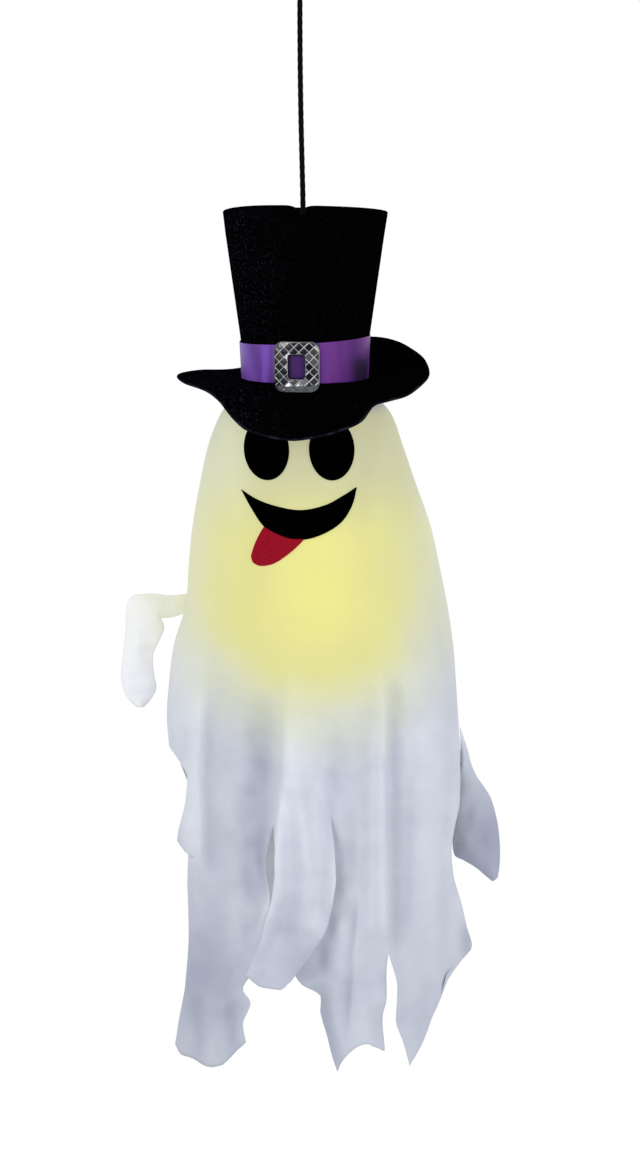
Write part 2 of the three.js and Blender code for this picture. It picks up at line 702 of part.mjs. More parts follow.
// A felt shape on the front of the cloth. outline(u, v) gives a place across and a drop, for u and v
// from 0 to 1.
function feltSolid(outline, across, down) {
  const sheet = new Sheet(felt.thickness);
  const lift = cloth.thickness / 2 + feltGap + felt.thickness / 2;
  const at = (i, j) => sheet.point(`${i} ${j}`, () => {
    const [x, drop] = outline(i / across, j / down);
    const step = 1;
    const slopeX = (frontY(x + step, drop) - frontY(x - step, drop)) / (2 * step);
    const slopeZ = (frontY(x, drop - step) - frontY(x, drop + step)) / (2 * step);
    const normal = new THREE.Vector3(-slopeX, -1, -slopeZ).normalize();
    return new THREE.Vector3(x, -frontY(x, drop), hatBaseZ - drop).addScaledVector(normal, lift);
  });
  for (let j = 0; j < down; j += 1) {
    for (let i = 0; i < across; i += 1) sheet.face(at(i, j), at(i, j + 1), at(i + 1, j + 1), at(i + 1, j));
  }
  return sheet.solid();
}

// A square laid onto an ellipse
function ellipseAt(u, v, x, drop, width, height) {
  const [a, b] = [2 * u - 1, 2 * v - 1];
  const rx = a * Math.sqrt(1 - (b * b) / 2);
  const rz = b * Math.sqrt(1 - (a * a) / 2);
  return [x + (rx * width) / 2, drop + (rz * height) / 2];
}

const flatCurve = (points) => smoothCurve(points.map(([x, drop]) => [x, drop, 0]));

// The area between two curves; its ends are cut a little short of where they meet
function between(upper, lower) {
  const [top, low] = [upper, lower].map(flatCurve);
  return (u, v) => {
    const share = mix(felt.cornerShare, 1 - felt.cornerShare, u);
    const [a, b] = [top.getPointAt(share), low.getPointAt(share)];
    return [mix(a.x, b.x, v), mix(a.y, b.y, v)];
  };
}

function addFace() {
  const eyeAt = (x) => (u, v) => ellipseAt(u, v, x, eye.drop, eye.width, eye.height);
  const eyeCells = Math.round(eye.width / felt.cell) + 1;
  add('left_eye', feltSolid(eyeAt(eye.leftX), eyeCells, eyeCells + 2), materials.faceFelt);
  add('right_eye', feltSolid(eyeAt(eye.rightX), eyeCells, eyeCells + 2), materials.faceFelt);
  add('mouth', feltSolid(between(mouthTop, mouthLow), 16, 3), materials.faceFelt);
  const [root, tip] = [tongueRoot, tongueTip].map(flatCurve);
  const tongueAt = (u, v) => {
    const [a, b] = [root.getPointAt(u), tip.getPointAt(u)];
    return [mix(a.x, b.x, v), mix(a.y, b.y, v)];
  };
  add('tongue', feltSolid(tongueAt, 6, 4), materials.tongueFelt);
}

// The frame inside

// A point on the inside of the cloth, by compass angle and drop, drawn in by an inset
function insideAt(degrees, drop, inset) {
  const row = bodyRow(drop);
  const turn = THREE.MathUtils.degToRad(degrees);
  const x = row.x + (row.halfWidth - inset) * Math.cos(turn);
  return [x, (row.depth - inset) * Math.sin(turn), hatBaseZ - drop];
}

function addFrame() {
  const disc = rod(hub.radius, hubLowZ, hubTopZ, hat.axisX, 0, 40);
  const hole = rod(hub.cordHole, hubLowZ - 1, hubTopZ + 1, spinX, 0);
  add('frame_hub', cut(disc, hole), materials.frame);

  const hoopInset = rib.inset + skirt.foldDepth / 2;
  const hoopZ = hatBaseZ - hoop.drop;
  const ribEnd = hoopZ + hoop.diameter / 2 + gap;
  for (let k = 0; k < rib.count; k += 1) {
    const degrees = (360 * (k + 0.5)) / rib.count;
    const turn = THREE.MathUtils.degToRad(degrees);
    const start = (radius, z) => [hat.axisX + radius * Math.cos(turn), radius * Math.sin(turn), z];
    const middle = bodyStations.slice(0, -4).map(([drop], n) => (
      insideAt(degrees, drop, n === 0 ? 2 * rib.inset : hoopInset)
    ));
    const foot = insideAt(degrees, hoop.drop, hoopInset);
    const route = [
      start(rib.startRadius, hubLowZ - gap),
      start(rib.startRadius + 1, hubLowZ - gap - rib.straightTop),
      ...middle,
      [foot[0], foot[1], ribEnd + rib.straightFoot],
      [foot[0], foot[1], ribEnd],
    ];
    add(`rib_${k + 1}`, tube(route, rib.diameter, rib.sides, rib.steps), materials.wire);
  }

  const centres = Array.from({ length: hoop.segments }, (_, k) => (
    new THREE.Vector3(...insideAt((360 * k) / hoop.segments, hoop.drop, hoopInset))
  ));
  const side = (k) => {
    const turn = (2 * Math.PI * k) / hoop.segments;
    return new THREE.Vector3(Math.cos(turn), Math.sin(turn), 0);
  };
  const ring = ringTube(centres, side, new THREE.Vector3(0, 0, 1), hoop.diameter, hoop.sides);
  add('body_hoop', ring, materials.wire);
}

// The lamp

function addBracket() {
  const inner = bracket.legSpread / 2;
  const outer = inner + bracket.thickness;
  const top = -gap;
  const outline = [
    [-outer - bracket.flange, top], [-inner, top], [-inner, top - bracket.drop], [inner, top - bracket.drop],
    [inner, top], [outer + bracket.flange, top], [outer + bracket.flange, top - bracket.thickness],
    [outer, top - bracket.thickness], [outer, top - bracket.drop - bracket.thickness],
    [-outer, top - bracket.drop - bracket.thickness], [-outer, top - bracket.thickness],
    [-outer - bracket.flange, top - bracket.thickness],
  ];
  const shape = new THREE.Shape(outline.map(([x, z]) => new THREE.Vector2(x, z)));
  const strap = new THREE.ExtrudeGeometry(shape, { depth: bracket.width, bevelEnabled: false });
  strap.rotateX(Math.PI / 2).translate(spinX, bracket.width / 2, hubLowZ);
  add('lamp_bracket', outward(strap), materials.frame);
}

function addBatteryBox() {
  const left = spinX - boxWidth / 2;
  const right = spinX + boxWidth / 2;
  const body = block([left, boxFrontY, boxLowZ], [right, boxBackY, boxTopZ]);
  const cavity = block(
    [left + box.wall, boxFrontY + box.wall, cavityLowZ],
    [right - box.wall, boxBackY + box.wall, cavityLowZ + innerHeight],
  );
  const screwHole = barY(
    screw.diameter / 2 + screw.holeClearance, boxBackY - screw.bite - 1, boxBackY + 1, spinX, screwZ,
  );
  const slotLow = (boxLowZ + boxTopZ) / 2 - slider.length / 2 - gap;
  const slotTop = slotLow + slider.length + slider.travel + 2 * gap;
  const slot = block(
    [left - box.wall, cellY - slider.knobWidth / 2 - gap, slotLow],
    [left + 2 * box.wall, cellY + slider.knobWidth / 2 + gap, slotTop],
  );
  const leadHole = rod(lead.diameter / 2 + gap, boxLowZ - 1, cavityLowZ + 1, spinX, 0, 16);
  add('battery_case', cut(body, cavity, screwHole, slot, leadHole), materials.plastic);

  const wallIn = left + box.wall;
  const knobTip = left - slider.knobReach;
  const profile = [
    [knobTip, -slider.knobWidth / 2], [wallIn + gap, -slider.knobWidth / 2],
    [wallIn + gap, -slider.plateWidth / 2],
    [wallIn + gap + slider.plateThickness, -slider.plateWidth / 2],
    [wallIn + gap + slider.plateThickness, slider.plateWidth / 2], [wallIn + gap, slider.plateWidth / 2],
    [wallIn + gap, slider.knobWidth / 2], [knobTip, slider.knobWidth / 2],
  ];
  const shape = new THREE.Shape(profile.map(([x, y]) => new THREE.Vector2(x, y)));
  const knob = new THREE.ExtrudeGeometry(shape, { depth: slider.length, bevelEnabled: false });
  add('power_switch', outward(knob.translate(0, cellY, slotLow + gap)), materials.steel);

  const lid = block([left, coverY, boxLowZ], [right, coverY + cover.thickness, boxTopZ]);
  const lidHole = barY(screw.diameter / 2 + gap, coverY - 1, coverY + cover.thickness + 1, spinX, screwZ);
  add('battery_cover', cut(lid, lidHole), materials.plastic);
  addScrew();

  const plateLow = cavityLowZ + gap;
  const plateTop = cavityLowZ + innerHeight - gap - plate.thickness;
  [['contact_plate_lower', plateLow], ['contact_plate_upper', plateTop]].forEach(([name, z]) => {
    const halfWidth = innerWidth / 2 - plate.margin;
    const halfDepth = cell.diameter / 2 - plate.inset;
    add(name, block(
      [spinX - halfWidth, cellY - halfDepth, z],
      [spinX + halfWidth, cellY + halfDepth, z + plate.thickness],
    ), materials.brass);
  });
  for (let k = 0; k < cell.count; k += 1) {
    const x = spinX + (k - (cell.count - 1) / 2) * cell.pitch;
    const low = plateLow + plate.thickness + gap;
    const r = cell.diameter / 2;
    const shoulder = cell.length - cell.nubLength;
    const nub = cell.nubDiameter / 2;
    const outline = [[0, 0], [r, 0], [r, shoulder], [nub, shoulder], [nub, cell.length], [0, cell.length]];
    const isFlipped = k % 2 === 1;
    const standing = isFlipped ? outline.map(([radius, h]) => [radius, cell.length - h]) : outline;
    add(`battery_${k + 1}`, turned(standing, 20, x, cellY, low), materials.cell);
  }
}

function addScrew() {
  const faceY = coverY + cover.thickness + gap;
  const shank = boxBackY - screw.bite;
  const r = screw.diameter / 2;
  const profile = [
    [0, shank], [r, shank], [r, faceY], [screw.headDiameter / 2, faceY],
    [screw.headDiameter / 2, faceY + screw.headHeight], [0, faceY + screw.headHeight],
  ];
  const turnedScrew = new THREE.LatheGeometry(profile.map(([radius, y]) => new THREE.Vector2(radius, y)), 20);
  turnedScrew.translate(spinX, 0, screwZ);
  const half = screw.slotWidth / 2;
  const reach = screw.headDiameter;
  const slotFloor = faceY + screw.headHeight / 2;
  const slot = block(
    [spinX - half, slotFloor, screwZ - reach],
    [spinX + half, faceY + screw.headHeight + 1, screwZ + reach],
  );
  add('cover_screw', cut(outward(turnedScrew), slot), materials.steel);
}

function addLamp() {
  const r = stem.diameter / 2;
  add('lamp_stem', turned([
    [r - stem.wall, stemLowZ], [r, stemLowZ], [r, stemTopZ],
    [r - stem.wall, stemTopZ], [r - stem.wall, stemLowZ],
  ], 24, spinX, 0, 0), materials.plastic);
  const leadTop = cavityLowZ + gap / 2;
  add('led_lead', tube(
    [[spinX, 0, boardTopZ + gap], [spinX, 0, mix(boardTopZ, leadTop, 0.5)], [spinX, 0, leadTop]],
    lead.diameter, lead.sides, 4,
  ), materials.lead);

  const capLow = neckTopZ + gap;
  const capRadius = globe.neckRadius + cap.overhang;
  add('globe_cap', turned([
    [r + gap, capLow], [capRadius, capLow], [capRadius, capLow + cap.thickness],
    [r + gap, capLow + cap.thickness], [r + gap, capLow],
  ], 32, spinX, 0, 0), materials.plastic);
  const boardLow = boardTopZ - board.thickness;
  add('led_board', outward(rod(board.radius, boardLow, boardTopZ, spinX, 0)), materials.board);
  for (let k = 0; k < led.count; k += 1) {
    const turn = (2 * Math.PI * k) / led.count + Math.PI / 2;
    const top = boardLow - gap;
    const dome = led.diameter / 2;
    const profile = [[0, top], [dome, top], [dome, top - led.height + dome]];
    for (let n = 1; n <= 4; n += 1) {
      const bend = (Math.PI / 8) * n;
      profile.push([n === 4 ? 0 : dome * Math.cos(bend), top - led.height + dome - dome * Math.sin(bend)]);
    }
    const [x, y] = [spinX + led.pitchRadius * Math.cos(turn), led.pitchRadius * Math.sin(turn)];
    add(`led_${k + 1}`, turned(profile, 12, x, y, 0), materials.led);
  }

  const arcPoints = (radius, neck, steps) => {
    const end = Math.acos(neck / radius);
    return Array.from({ length: steps + 1 }, (_, k) => {
      const rise = mix(-Math.PI / 2, end, k / steps);
      return [k === 0 ? 0 : radius * Math.cos(rise), globeZ + radius * Math.sin(rise)];
    });
  };
  const neckIn = globe.neckRadius - globe.wall;
  const outer = arcPoints(globe.radius, globe.neckRadius, globe.rings);
  const inner = arcPoints(globe.radius - globe.wall, neckIn, globe.rings);
  add('globe', turned([
    ...outer, [globe.neckRadius, neckTopZ], [neckIn, neckTopZ], ...inner.toReversed(),
  ], globe.segments, spinX, 0, 0), materials.diffuser);
}

// The sleeves: the left one stands out from the seam and drops to a round end, the right one falls to a point.
// Their first rows lie on the seams, a gap clear of the body.
function seamX(side, drop) {
  const [left, right] = bodyAt(drop);
  const out = cloth.thickness / 2 + 2 * gap;
  return side < 0 ? spinX - left - out : spinX + right + out;
}
const leftSleeve = [
  [seamX(-1, 217), 217, seamX(-1, 237), 237, 0], [-131, 219, -129, 241, -1], [-148, 217, -139, 242, -2],
  [-168, 220, -137, 246, -2], [-174, 234, -136, 252, -2], [-174, 250, -139, 260, -1], [-177, 279, -147, 279, 0],
  [-179, 299, -146, 299, 0], [-177, 312, -144, 312, 0], [-172, 323, -149, 323, 0], [-164, 331, -156, 331, 0],
];
const rightSleeve = [
  [seamX(1, 352), 352, seamX(1, 368), 368, 0], [168, 376, 160, 388, 5], [171, 388, 154, 430, 9],
  [177, 402, 153, 460, 10], [190, 422, 155, 482, 10], [197, 445, 164, 487, 10], [200, 468, 176, 494, 9],
  [200, 490, 188, 504, 9], [198, 504, 193, 508, 9],
];

addCord();
addHat();
addCloth();
add('left_sleeve', sleeveSolid(leftSleeve, 4), materials.cloth);
add('right_sleeve', sleeveSolid(rightSleeve, 4), materials.cloth);
addFace();
addFrame();
addBracket();
addBatteryBox();
addLamp();

export default ghost;
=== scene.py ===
"""A hanging ghost decoration: a braided cord, a felt top hat with a satin ribbon and a buckle, draped gauze
with a felt face, and a lit globe on a wire frame inside.

The tables are in millimetres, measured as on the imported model: +Z up, the viewer at -Y. Meshes are in
metres. A drop is measured down from the crown's lower edge.
"""

import math

import bmesh
import bpy
import numpy as np
from bpy.props import FloatProperty, FloatVectorProperty, IntProperty, PointerProperty
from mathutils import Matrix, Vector


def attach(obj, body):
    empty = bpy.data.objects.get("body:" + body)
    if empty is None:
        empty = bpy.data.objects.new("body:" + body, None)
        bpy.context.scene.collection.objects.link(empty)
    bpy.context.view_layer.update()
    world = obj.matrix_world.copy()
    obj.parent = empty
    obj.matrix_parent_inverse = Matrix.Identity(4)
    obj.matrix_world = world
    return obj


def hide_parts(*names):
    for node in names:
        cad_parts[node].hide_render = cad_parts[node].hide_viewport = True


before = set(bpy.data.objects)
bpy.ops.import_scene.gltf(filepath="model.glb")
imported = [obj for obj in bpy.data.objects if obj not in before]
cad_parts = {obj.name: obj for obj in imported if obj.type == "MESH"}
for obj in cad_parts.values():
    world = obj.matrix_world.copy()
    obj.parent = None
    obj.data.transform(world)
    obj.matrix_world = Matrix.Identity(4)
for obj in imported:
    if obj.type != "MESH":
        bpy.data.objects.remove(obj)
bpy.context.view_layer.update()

bl_info = {
    "name": "Hanging ghost decoration",
    "version": (1, 0, 0),
    "blender": (4, 5, 0),
    "location": "3D View > Sidebar > Ghost",
    "description": "Builds a cloth ghost with a felt top hat that hangs on a cord",
    "category": "Object",
}

MM = 0.001

# Places shared by the pieces: SPIN_X is the cord's axis and HAT_X the hat's
SPIN_X = 3.0
HAT_X = 5.0
CROWN_LOW = -432.0
CROWN_TOP = -266.5
HUB_TOP = -419.0
HUB_LOW = -425.0
KNOT_Z = -35.3
CORD_TOP = -41.6
CORD_LOW = -423.7
END_KNOT_Z = -431.0
CASE_LOW = -503.3
LAMP_Z = -636.7
HOOP_DROP = 309.0
# Radii of the frame's wires, and how far their middle runs inside the body's oval
HOOP_WIRE = 1.7
RIB_WIRE = 1.3
WIRE_INSET = 10.5
# Distance of each half of the cloth from the plane of the side seams
SEAM_GAP = 0.02
# Distance from the middle of the gauze to the underside of the felt on it
FELT_GAP = 1.0

# Drop of the cord below the origin, and its place across
CORD_ROUTE = [
    (41.6, 0), (80, 0), (130, 0.4), (180, 1.2), (225, 2.3), (258, 3), (300, 3), (360, 3), (423.7, 3),
]
# Compass angle, reach from the hat's axis, height of the brim's edge over the crown's lower edge
BRIM_EDGE = [
    (0, 124.5, 5), (15, 124, 15), (30, 125, 22), (42, 126, 28), (54, 125, 31), (70, 121, 29), (95, 118, 17),
    (122, 122, 0), (150, 125, 1), (180, 128, 1), (198, 127, -2), (217, 126, -6), (226, 124, -15),
    (234, 122, -32), (241, 120, -43), (262, 118, -52), (276, 118, -49), (288, 117, -43), (299, 118, -34),
    (305, 119, -20), (313, 121, -16), (325, 124, -12), (340, 125, -3), (360, 124.5, 5),
]
# Creases of the ribbon: compass angle in radians, lean over the ribbon's height, width, height
RIBBON_CREASES = [
    (4.02, 0.05, 0.045, 1.0), (4.17, 0, 0.05, -0.8), (5.06, -0.08, 0.09, 0.7), (5.35, -0.1, 0.07, -0.6),
]
# The body: drop, reach to the left, to the right, to the front or back
BODY = [
    (18, 68, 72, 66), (37, 82, 88, 80), (67, 94, 99, 88), (108, 103, 113, 97), (148, 110, 127, 105),
    (188, 114, 136, 110), (228, 117, 144, 114), (269, 129, 150, 118), (309, 134, 153, 121),
    (339, 136, 155, 122), (369, 134, 157, 122),
]
SKIRT_DROP = BODY[-1][0]
# The cloth from the cord's hole out over the hub and down into the crown: height, middle, half width, depth
HEAD = [
    (HUB_TOP + 0.8, SPIN_X, 6, 6), (HUB_TOP + 0.8, 4.2, 24, 24), (HUB_TOP + 0.6, HAT_X, 47, 47),
    (HUB_TOP - 1.7, HAT_X, 52, 52), (CROWN_LOW + 1, HAT_X, 59.1, 59.1),
]
# Columns of the yoke, by which the strips' ends are counted, cells in each, and rows
COLUMNS = 22
COLUMN_CELLS = 9
YOKE_ROWS = 96
# Rows of cells in a strip, and the coarser rows by which the slits' ends are counted
STRIP_ROWS = 70
SKIRT_ROWS = 11

# Strips of the torn skirt, left to right, each between two columns of the yoke. A line is given by place
# across, drop and how far forward. A strip shares its slit with the next one, down to the slit's row
FRONT_STRIPS = [
    {
        "ends": (0, 7), "slit": [(-26, 400, 4), (-26, 437, 6)], "slit_row": 3,
        "left": [(-121, 379, 10), (-112, 392, -6), (-114, 420, -14), (-121, 452, -18), (-122, 464, -19),
                 (-112, 468, -20), (-112, 509, -22), (-111, 559, -20), (-115, 606, -14), (-125, 667, -8)],
        "hem": [(-119, 675, -8), (-89, 684, 0), (-78, 680, 0)],
        "right": [(-33, 475, -12), (-29, 520, -12), (-38, 565, -12), (-51, 590, -8), (-58, 601, 0),
                  (-49, 615, 0), (-57, 636, 0), (-54, 655, 0)],
    },
    {
        "ends": (7, 13), "slit": [(24, 395, 8), (31, 426, 10)], "slit_row": 3,
        "left": [(-25, 465, 20), (-26, 496, 24), (-40, 551, 28), (-54, 585, 30)],
        "hem": [(-40, 595, 30), (-25, 598, 30), (-16, 595, 30)],
        "right": [(36, 490, 22), (25, 542, 28), (10, 562, 30), (-6, 583, 30)],
    },
    {
        "ends": (13, 18), "slit": [(80, 440, 4), (88, 565, 4)], "slit_row": 7,
        "left": [(16, 500, -4), (2, 550, -6), (-7, 580, -6), (1, 595, -6), (21, 608, -6), (21, 626, -6),
                 (29, 655, -4), (37, 683, 0)],
        "hem": [(44, 668, 0), (62, 655, 0)],
        "right": [(86, 586, 0), (86, 614, 0), (82, 631, 0), (84, 665, 0)],
    },
    {
        "ends": (18, 22),
        "left": [(97, 597, 0), (96, 637, 0), (102, 652, 0), (109, 679, 0)],
        "hem": [(122, 658, 0), (140, 618, 0)],
        "right": [(160, 423, 0), (151, 481, 0), (167, 551, 0), (172, 568, 0), (171, 575, 0), (157, 584, 0),
                  (147, 595, 0)],
    },
]
BACK_STRIPS = [
    {
        "ends": (0, 6), "slit": [(-50, 405, 3), (-52, 475, 4)], "slit_row": 4,
        "left": [(-118, 397, 0), (-104, 435, 0), (-103, 471, 0)],
        "hem": [(-98, 505, 0), (-92, 553, 0), (-80, 565, 0)],
        "right": [(-60, 515, 0), (-66, 550, 0)],
    },
    {
        "ends": (6, 12), "slit": [(18, 405, 3), (16, 455, 4)], "slit_row": 3,
        "left": [(-46, 525, 0), (-47, 560, 0), (-40, 576, 0)],
        "hem": [(-28, 588, 0), (-8, 580, 0)],
        "right": [(12, 505, 0), (8, 545, 0), (2, 568, 0)],
    },
    {
        "ends": (12, 17), "slit": [(84, 415, 2), (86, 485, 3)], "slit_row": 4,
        "left": [(22, 505, 0), (26, 575, 0), (30, 615, 0)],
        "hem": [(44, 660, 0), (60, 645, 0)],
        "right": [(80, 545, 0), (76, 605, 0)],
    },
    {
        "ends": (17, 22),
        "left": [(96, 535, 0), (100, 585, 0)],
        "hem": [(112, 605, 0), (126, 575, 0)],
        "right": [(158, 435, 0), (146, 485, 0), (142, 535, 0)],
    },
]
# Folds: a line of (place across, drop), height towards the viewer, width to the left and right, painted
# shading added (painted shade below 0, painted highlight above)
FRONT_FOLDS = [
    ([(-62, 10), (-66, 150), (-70, 220)], 2.2, 9, 12, 0.10),
    ([(72, 20), (66, 110), (64, 160)], -2.4, 11, 9, -0.16),
    ([(84, 70), (80, 200), (83, 320)], 2.8, 16, 8, 0.06),
    ([(-40, 150), (-52, 260), (-58, 340)], -1.8, 14, 12, -0.05),
    ([(-98, 190), (-98, 270), (-97, 345)], 3.0, 9, 5, 0.10),
    ([(-101, 300), (-102, 390), (-100, 490)], 4.5, 12, 3, 0.22),
    ([(-90, 300), (-92, 400), (-90, 500)], -4.0, 4, 8, -0.16),
    ([(-74, 330), (-75, 460), (-80, 640)], 2.0, 12, 10, 0.0),
    ([(-34, 290), (-36, 380), (-38, 450), (-42, 530)], -8.0, 26, 11, -0.34),
    ([(-40, 420), (-37, 470), (-32, 520)], -3.0, 5, 9, -0.18),
    ([(-60, 430), (-60, 500), (-62, 600)], 3.0, 12, 8, 0.04),
    ([(-11, 275), (-15, 380), (-22, 440), (-27, 499), (-43, 560)], 5.5, 2.5, 12, 0.26),
    ([(12, 285), (10, 400), (2, 500), (-14, 580)], 4.0, 20, 18, 0.14),
    ([(33, 350), (29, 433), (34, 480), (28, 560)], -3.0, 5, 7, -0.10),
    ([(57, 350), (58, 470), (60, 600)], 3.0, 13, 12, 0.03),
    ([(47, 425), (51, 463), (54, 505)], -2.5, 9, 10, -0.12),
    ([(72, 330), (73, 460), (72, 560)], 2.0, 4, 4, 0.12),
    ([(83, 270), (84, 330), (83, 440), (86, 560)], 6.5, 7, 2.2, 0.22),
    ([(93, 280), (94, 400), (95, 580)], -7.0, 4, 10, -0.22),
    ([(126, 260), (128, 400), (126, 640)], 5.0, 17, 14, 0.14),
    ([(110, 380), (111, 450), (108, 560)], -3.0, 6, 6, -0.12),
    ([(146, 330), (146, 440), (142, 590)], -3.5, 7, 7, -0.08),
    ([(57, 500), (51, 560), (50, 590), (45, 660)], -3.0, 7, 2, -0.18),
    ([(20, 530), (20, 600), (36, 700)], -3.0, 17, 9, -0.34),
    ([(-88, 590), (-88, 640), (-86, 700)], 5.0, 11, 10, 0.10),
    ([(-104, 600), (-101, 640), (-98, 700)], -3.0, 7, 6, -0.16),
    ([(-68, 600), (-68, 640), (-66, 690)], -4.0, 7, 7, -0.18),
    ([(164, 525), (167, 560), (167, 600)], -3.0, 9, 11, -0.65),
    ([(112, 560), (112, 630), (112, 700)], 3.0, 9, 8, 0.08),
    ([(66, 590), (66, 640), (66, 690)], 3.0, 12, 10, 0.08),
]
# Patches of painted light and shade, from the top down: place across, drop, reach across and down, painted
# shading added
FRONT_PAINTED_SHADING = [
    (78, 14, 22, 22, 0.20), (-72, 20, 26, 30, 0.35), (-110, 190, 26, 80, 0.22), (-122, 300, 24, 80, 0.26),
    (122, 380, 40, 70, 0.06), (0, 400, 34, 70, 0.08), (50, 400, 30, 60, -0.14), (-112, 430, 12, 40, 0.22),
    (165, 430, 14, 60, 0.22), (-70, 480, 30, 50, -0.06), (-35, 480, 12, 50, 0.25), (140, 480, 14, 100, 0.15),
    (40, 492, 9, 50, 0.65), (-60, 500, 14, 80, 0.22), (60, 520, 24, 40, -0.08), (132, 520, 36, 60, -0.10),
    (2, 530, 34, 60, -0.30), (15, 545, 12, 70, 0.34), (165, 554, 12, 40, 0.35), (-95, 600, 45, 75, -0.48),
    (50, 620, 36, 50, -0.10), (120, 620, 30, 50, -0.26),
]
BACK_FOLDS = [
    ([(-92, 150), (-96, 300), (-100, 560)], 7.0, 12, 9, 0.12),
    ([(-70, 260), (-74, 400), (-76, 600)], -9.0, 10, 12, -0.25),
    ([(-40, 200), (-38, 380), (-34, 660)], 8.0, 14, 10, 0.12),
    ([(-12, 300), (-8, 420), (-14, 660)], -8.0, 8, 11, -0.22),
    ([(20, 180), (24, 360), (34, 640)], 6.0, 16, 12, 0.10),
    ([(50, 280), (54, 430), (56, 680)], -9.0, 9, 10, -0.26),
    ([(84, 220), (86, 400), (70, 620)], 8.0, 12, 9, 0.14),
    ([(110, 300), (112, 450), (112, 640)], -7.0, 10, 11, -0.20),
    ([(134, 300), (136, 430), (132, 600)], 4.0, 9, 9, 0.08),
]
# Sleeves, root to tip: place across and drop of the upper and lower edge, and how far back
LEFT_SLEEVE = [
    (-111.9, 217, -115.6, 237, 0), (-131, 219, -129, 241, -1), (-148, 217, -139, 242, -2),
    (-168, 220, -137, 246, -2), (-174, 234, -136, 252, -2), (-174, 250, -139, 260, -1),
    (-177, 279, -147, 279, 0), (-179, 299, -146, 299, 0), (-177, 312, -144, 312, 0),
    (-172, 323, -149, 323, 0), (-164, 331, -156, 331, 0),
]
RIGHT_SLEEVE = [
    (160.3, 352, 161.1, 368, 0), (168, 376, 160, 388, 5), (171, 388, 154, 430, 9), (177, 402, 153, 460, 10),
    (190, 422, 155, 482, 10), (197, 445, 164, 487, 10), (200, 468, 176, 494, 9), (200, 490, 188, 504, 9),
    (198, 504, 193, 508, 9),
]
MOUTH_TOP = [(-58, 104.6), (-43, 113.4), (-24, 119.8), (0.6, 123.5), (25, 118.7), (44, 109), (56, 101.6)]
MOUTH_LOW = [
    (-58, 104.6), (-47, 124), (-35, 140.6), (-21, 148.2), (-9, 152), (8, 152), (27, 145.3), (42, 134.8),
    (51.5, 119.4), (56, 101.6),
]
TONGUE_ROOT = [(-35, 140.2), (-21, 147.6), (-9, 151.4), (5, 151.6)]
TONGUE_TIP = [(-48, 170), (-46, 176), (-39, 179.3), (-28, 177.6), (-20, 173.6)]


def paint(red, green, blue):
    """Linear colour of an 8-bit screen colour."""
    share = np.array([red, green, blue]) / 255
    return tuple(np.where(share <= 0.04045, share / 12.92, ((share + 0.055) / 1.055) ** 2.4).tolist())


def length_of(name, default, about):
    return FloatProperty(name=name, description=about, default=default, min=0, unit="LENGTH", precision=4)


def place_of(name, default, about):
    return FloatVectorProperty(
        name=name, description=about, default=default, size=3, unit="LENGTH", precision=4
    )


def share_of(name, default, about):
    return FloatProperty(name=name, description=about, default=default, min=0, max=1, subtype="FACTOR")


def colour_of(name, default, about):
    return FloatVectorProperty(
        name=name, description=about, default=paint(*default), size=3, min=0, max=1, subtype="COLOR"
    )


class CordSettings(bpy.types.PropertyGroup):
    diameter: length_of("Diameter", 0.0055, "Thickness of the braided cord")
    braid: share_of("Braid depth", 0.05, "Height of the braid's strands as a share of the radius")
    strands: IntProperty(name="Strands", description="Strands that turn each way", default=4, min=2, max=12)
    colour: colour_of("Colour", (4, 4, 5), "Colour of the cord")


class HatSettings(bpy.types.PropertyGroup):
    base_radius: length_of("Base radius", 0.0623, "Crown's radius where it meets the brim")
    band_radius: length_of("Band radius", 0.0643, "Crown's radius at the ribbon's upper edge")
    top_radius: length_of("Top radius", 0.0825, "Crown's radius at its top rim")
    felt: length_of("Felt", 0.002, "Thickness of the hat's felt")
    felt_colour: colour_of("Felt colour", (3, 3, 4), "Colour of the black felt")
    # Colour of lint specks, of the painted sheen on the felt's left and of the brim's painted edge highlight
    lint_and_sheen_colour: colour_of("Lint colour", (72, 78, 98), "Colour of stray fibres on the felt")
    ribbon_height: length_of("Ribbon height", 0.038, "Height of the satin ribbon")
    ribbon_colour: colour_of("Ribbon colour", (125, 82, 186), "Colour of the satin in the light")
    ribbon_shade: colour_of("Ribbon shade", (58, 24, 90), "Colour of the satin's folds")
    buckle_width: length_of("Buckle width", 0.047, "Width of the buckle")
    buckle_height: length_of("Buckle height", 0.052, "Height of the buckle")
    lattice_pitch: length_of("Lattice pitch", 0.0098, "Distance across between the buckle's ridges")
    lattice_height: length_of("Lattice height", 0.0006, "Height of the buckle's ridges")


class ClothSettings(bpy.types.PropertyGroup):
    thickness: length_of("Thickness", 0.0006, "Thickness of the gauze")
    fold_depth: length_of("Fold depth", 0.009, "Depth of the even folds at the skirt")
    crumple: length_of("Crumple", 0.0009, "Height of the small crumples")
    fray: length_of("Fray", 0.0014, "How far the torn hem wanders")
    threads: FloatProperty(name="Threads", description="Threads in a metre", default=900, min=100, max=4000)
    # The light and shade colours are painted highlight on the cloth's folds and painted shade between them
    light_colour: colour_of("Light colour", (226, 230, 241), "Colour of the cloth on its folds")
    sleeve_colour: colour_of("Sleeve colour", (249, 250, 255), "Colour of the left sleeve")
    shade_colour: colour_of("Shade colour", (160, 166, 186), "Colour of the cloth between its folds")


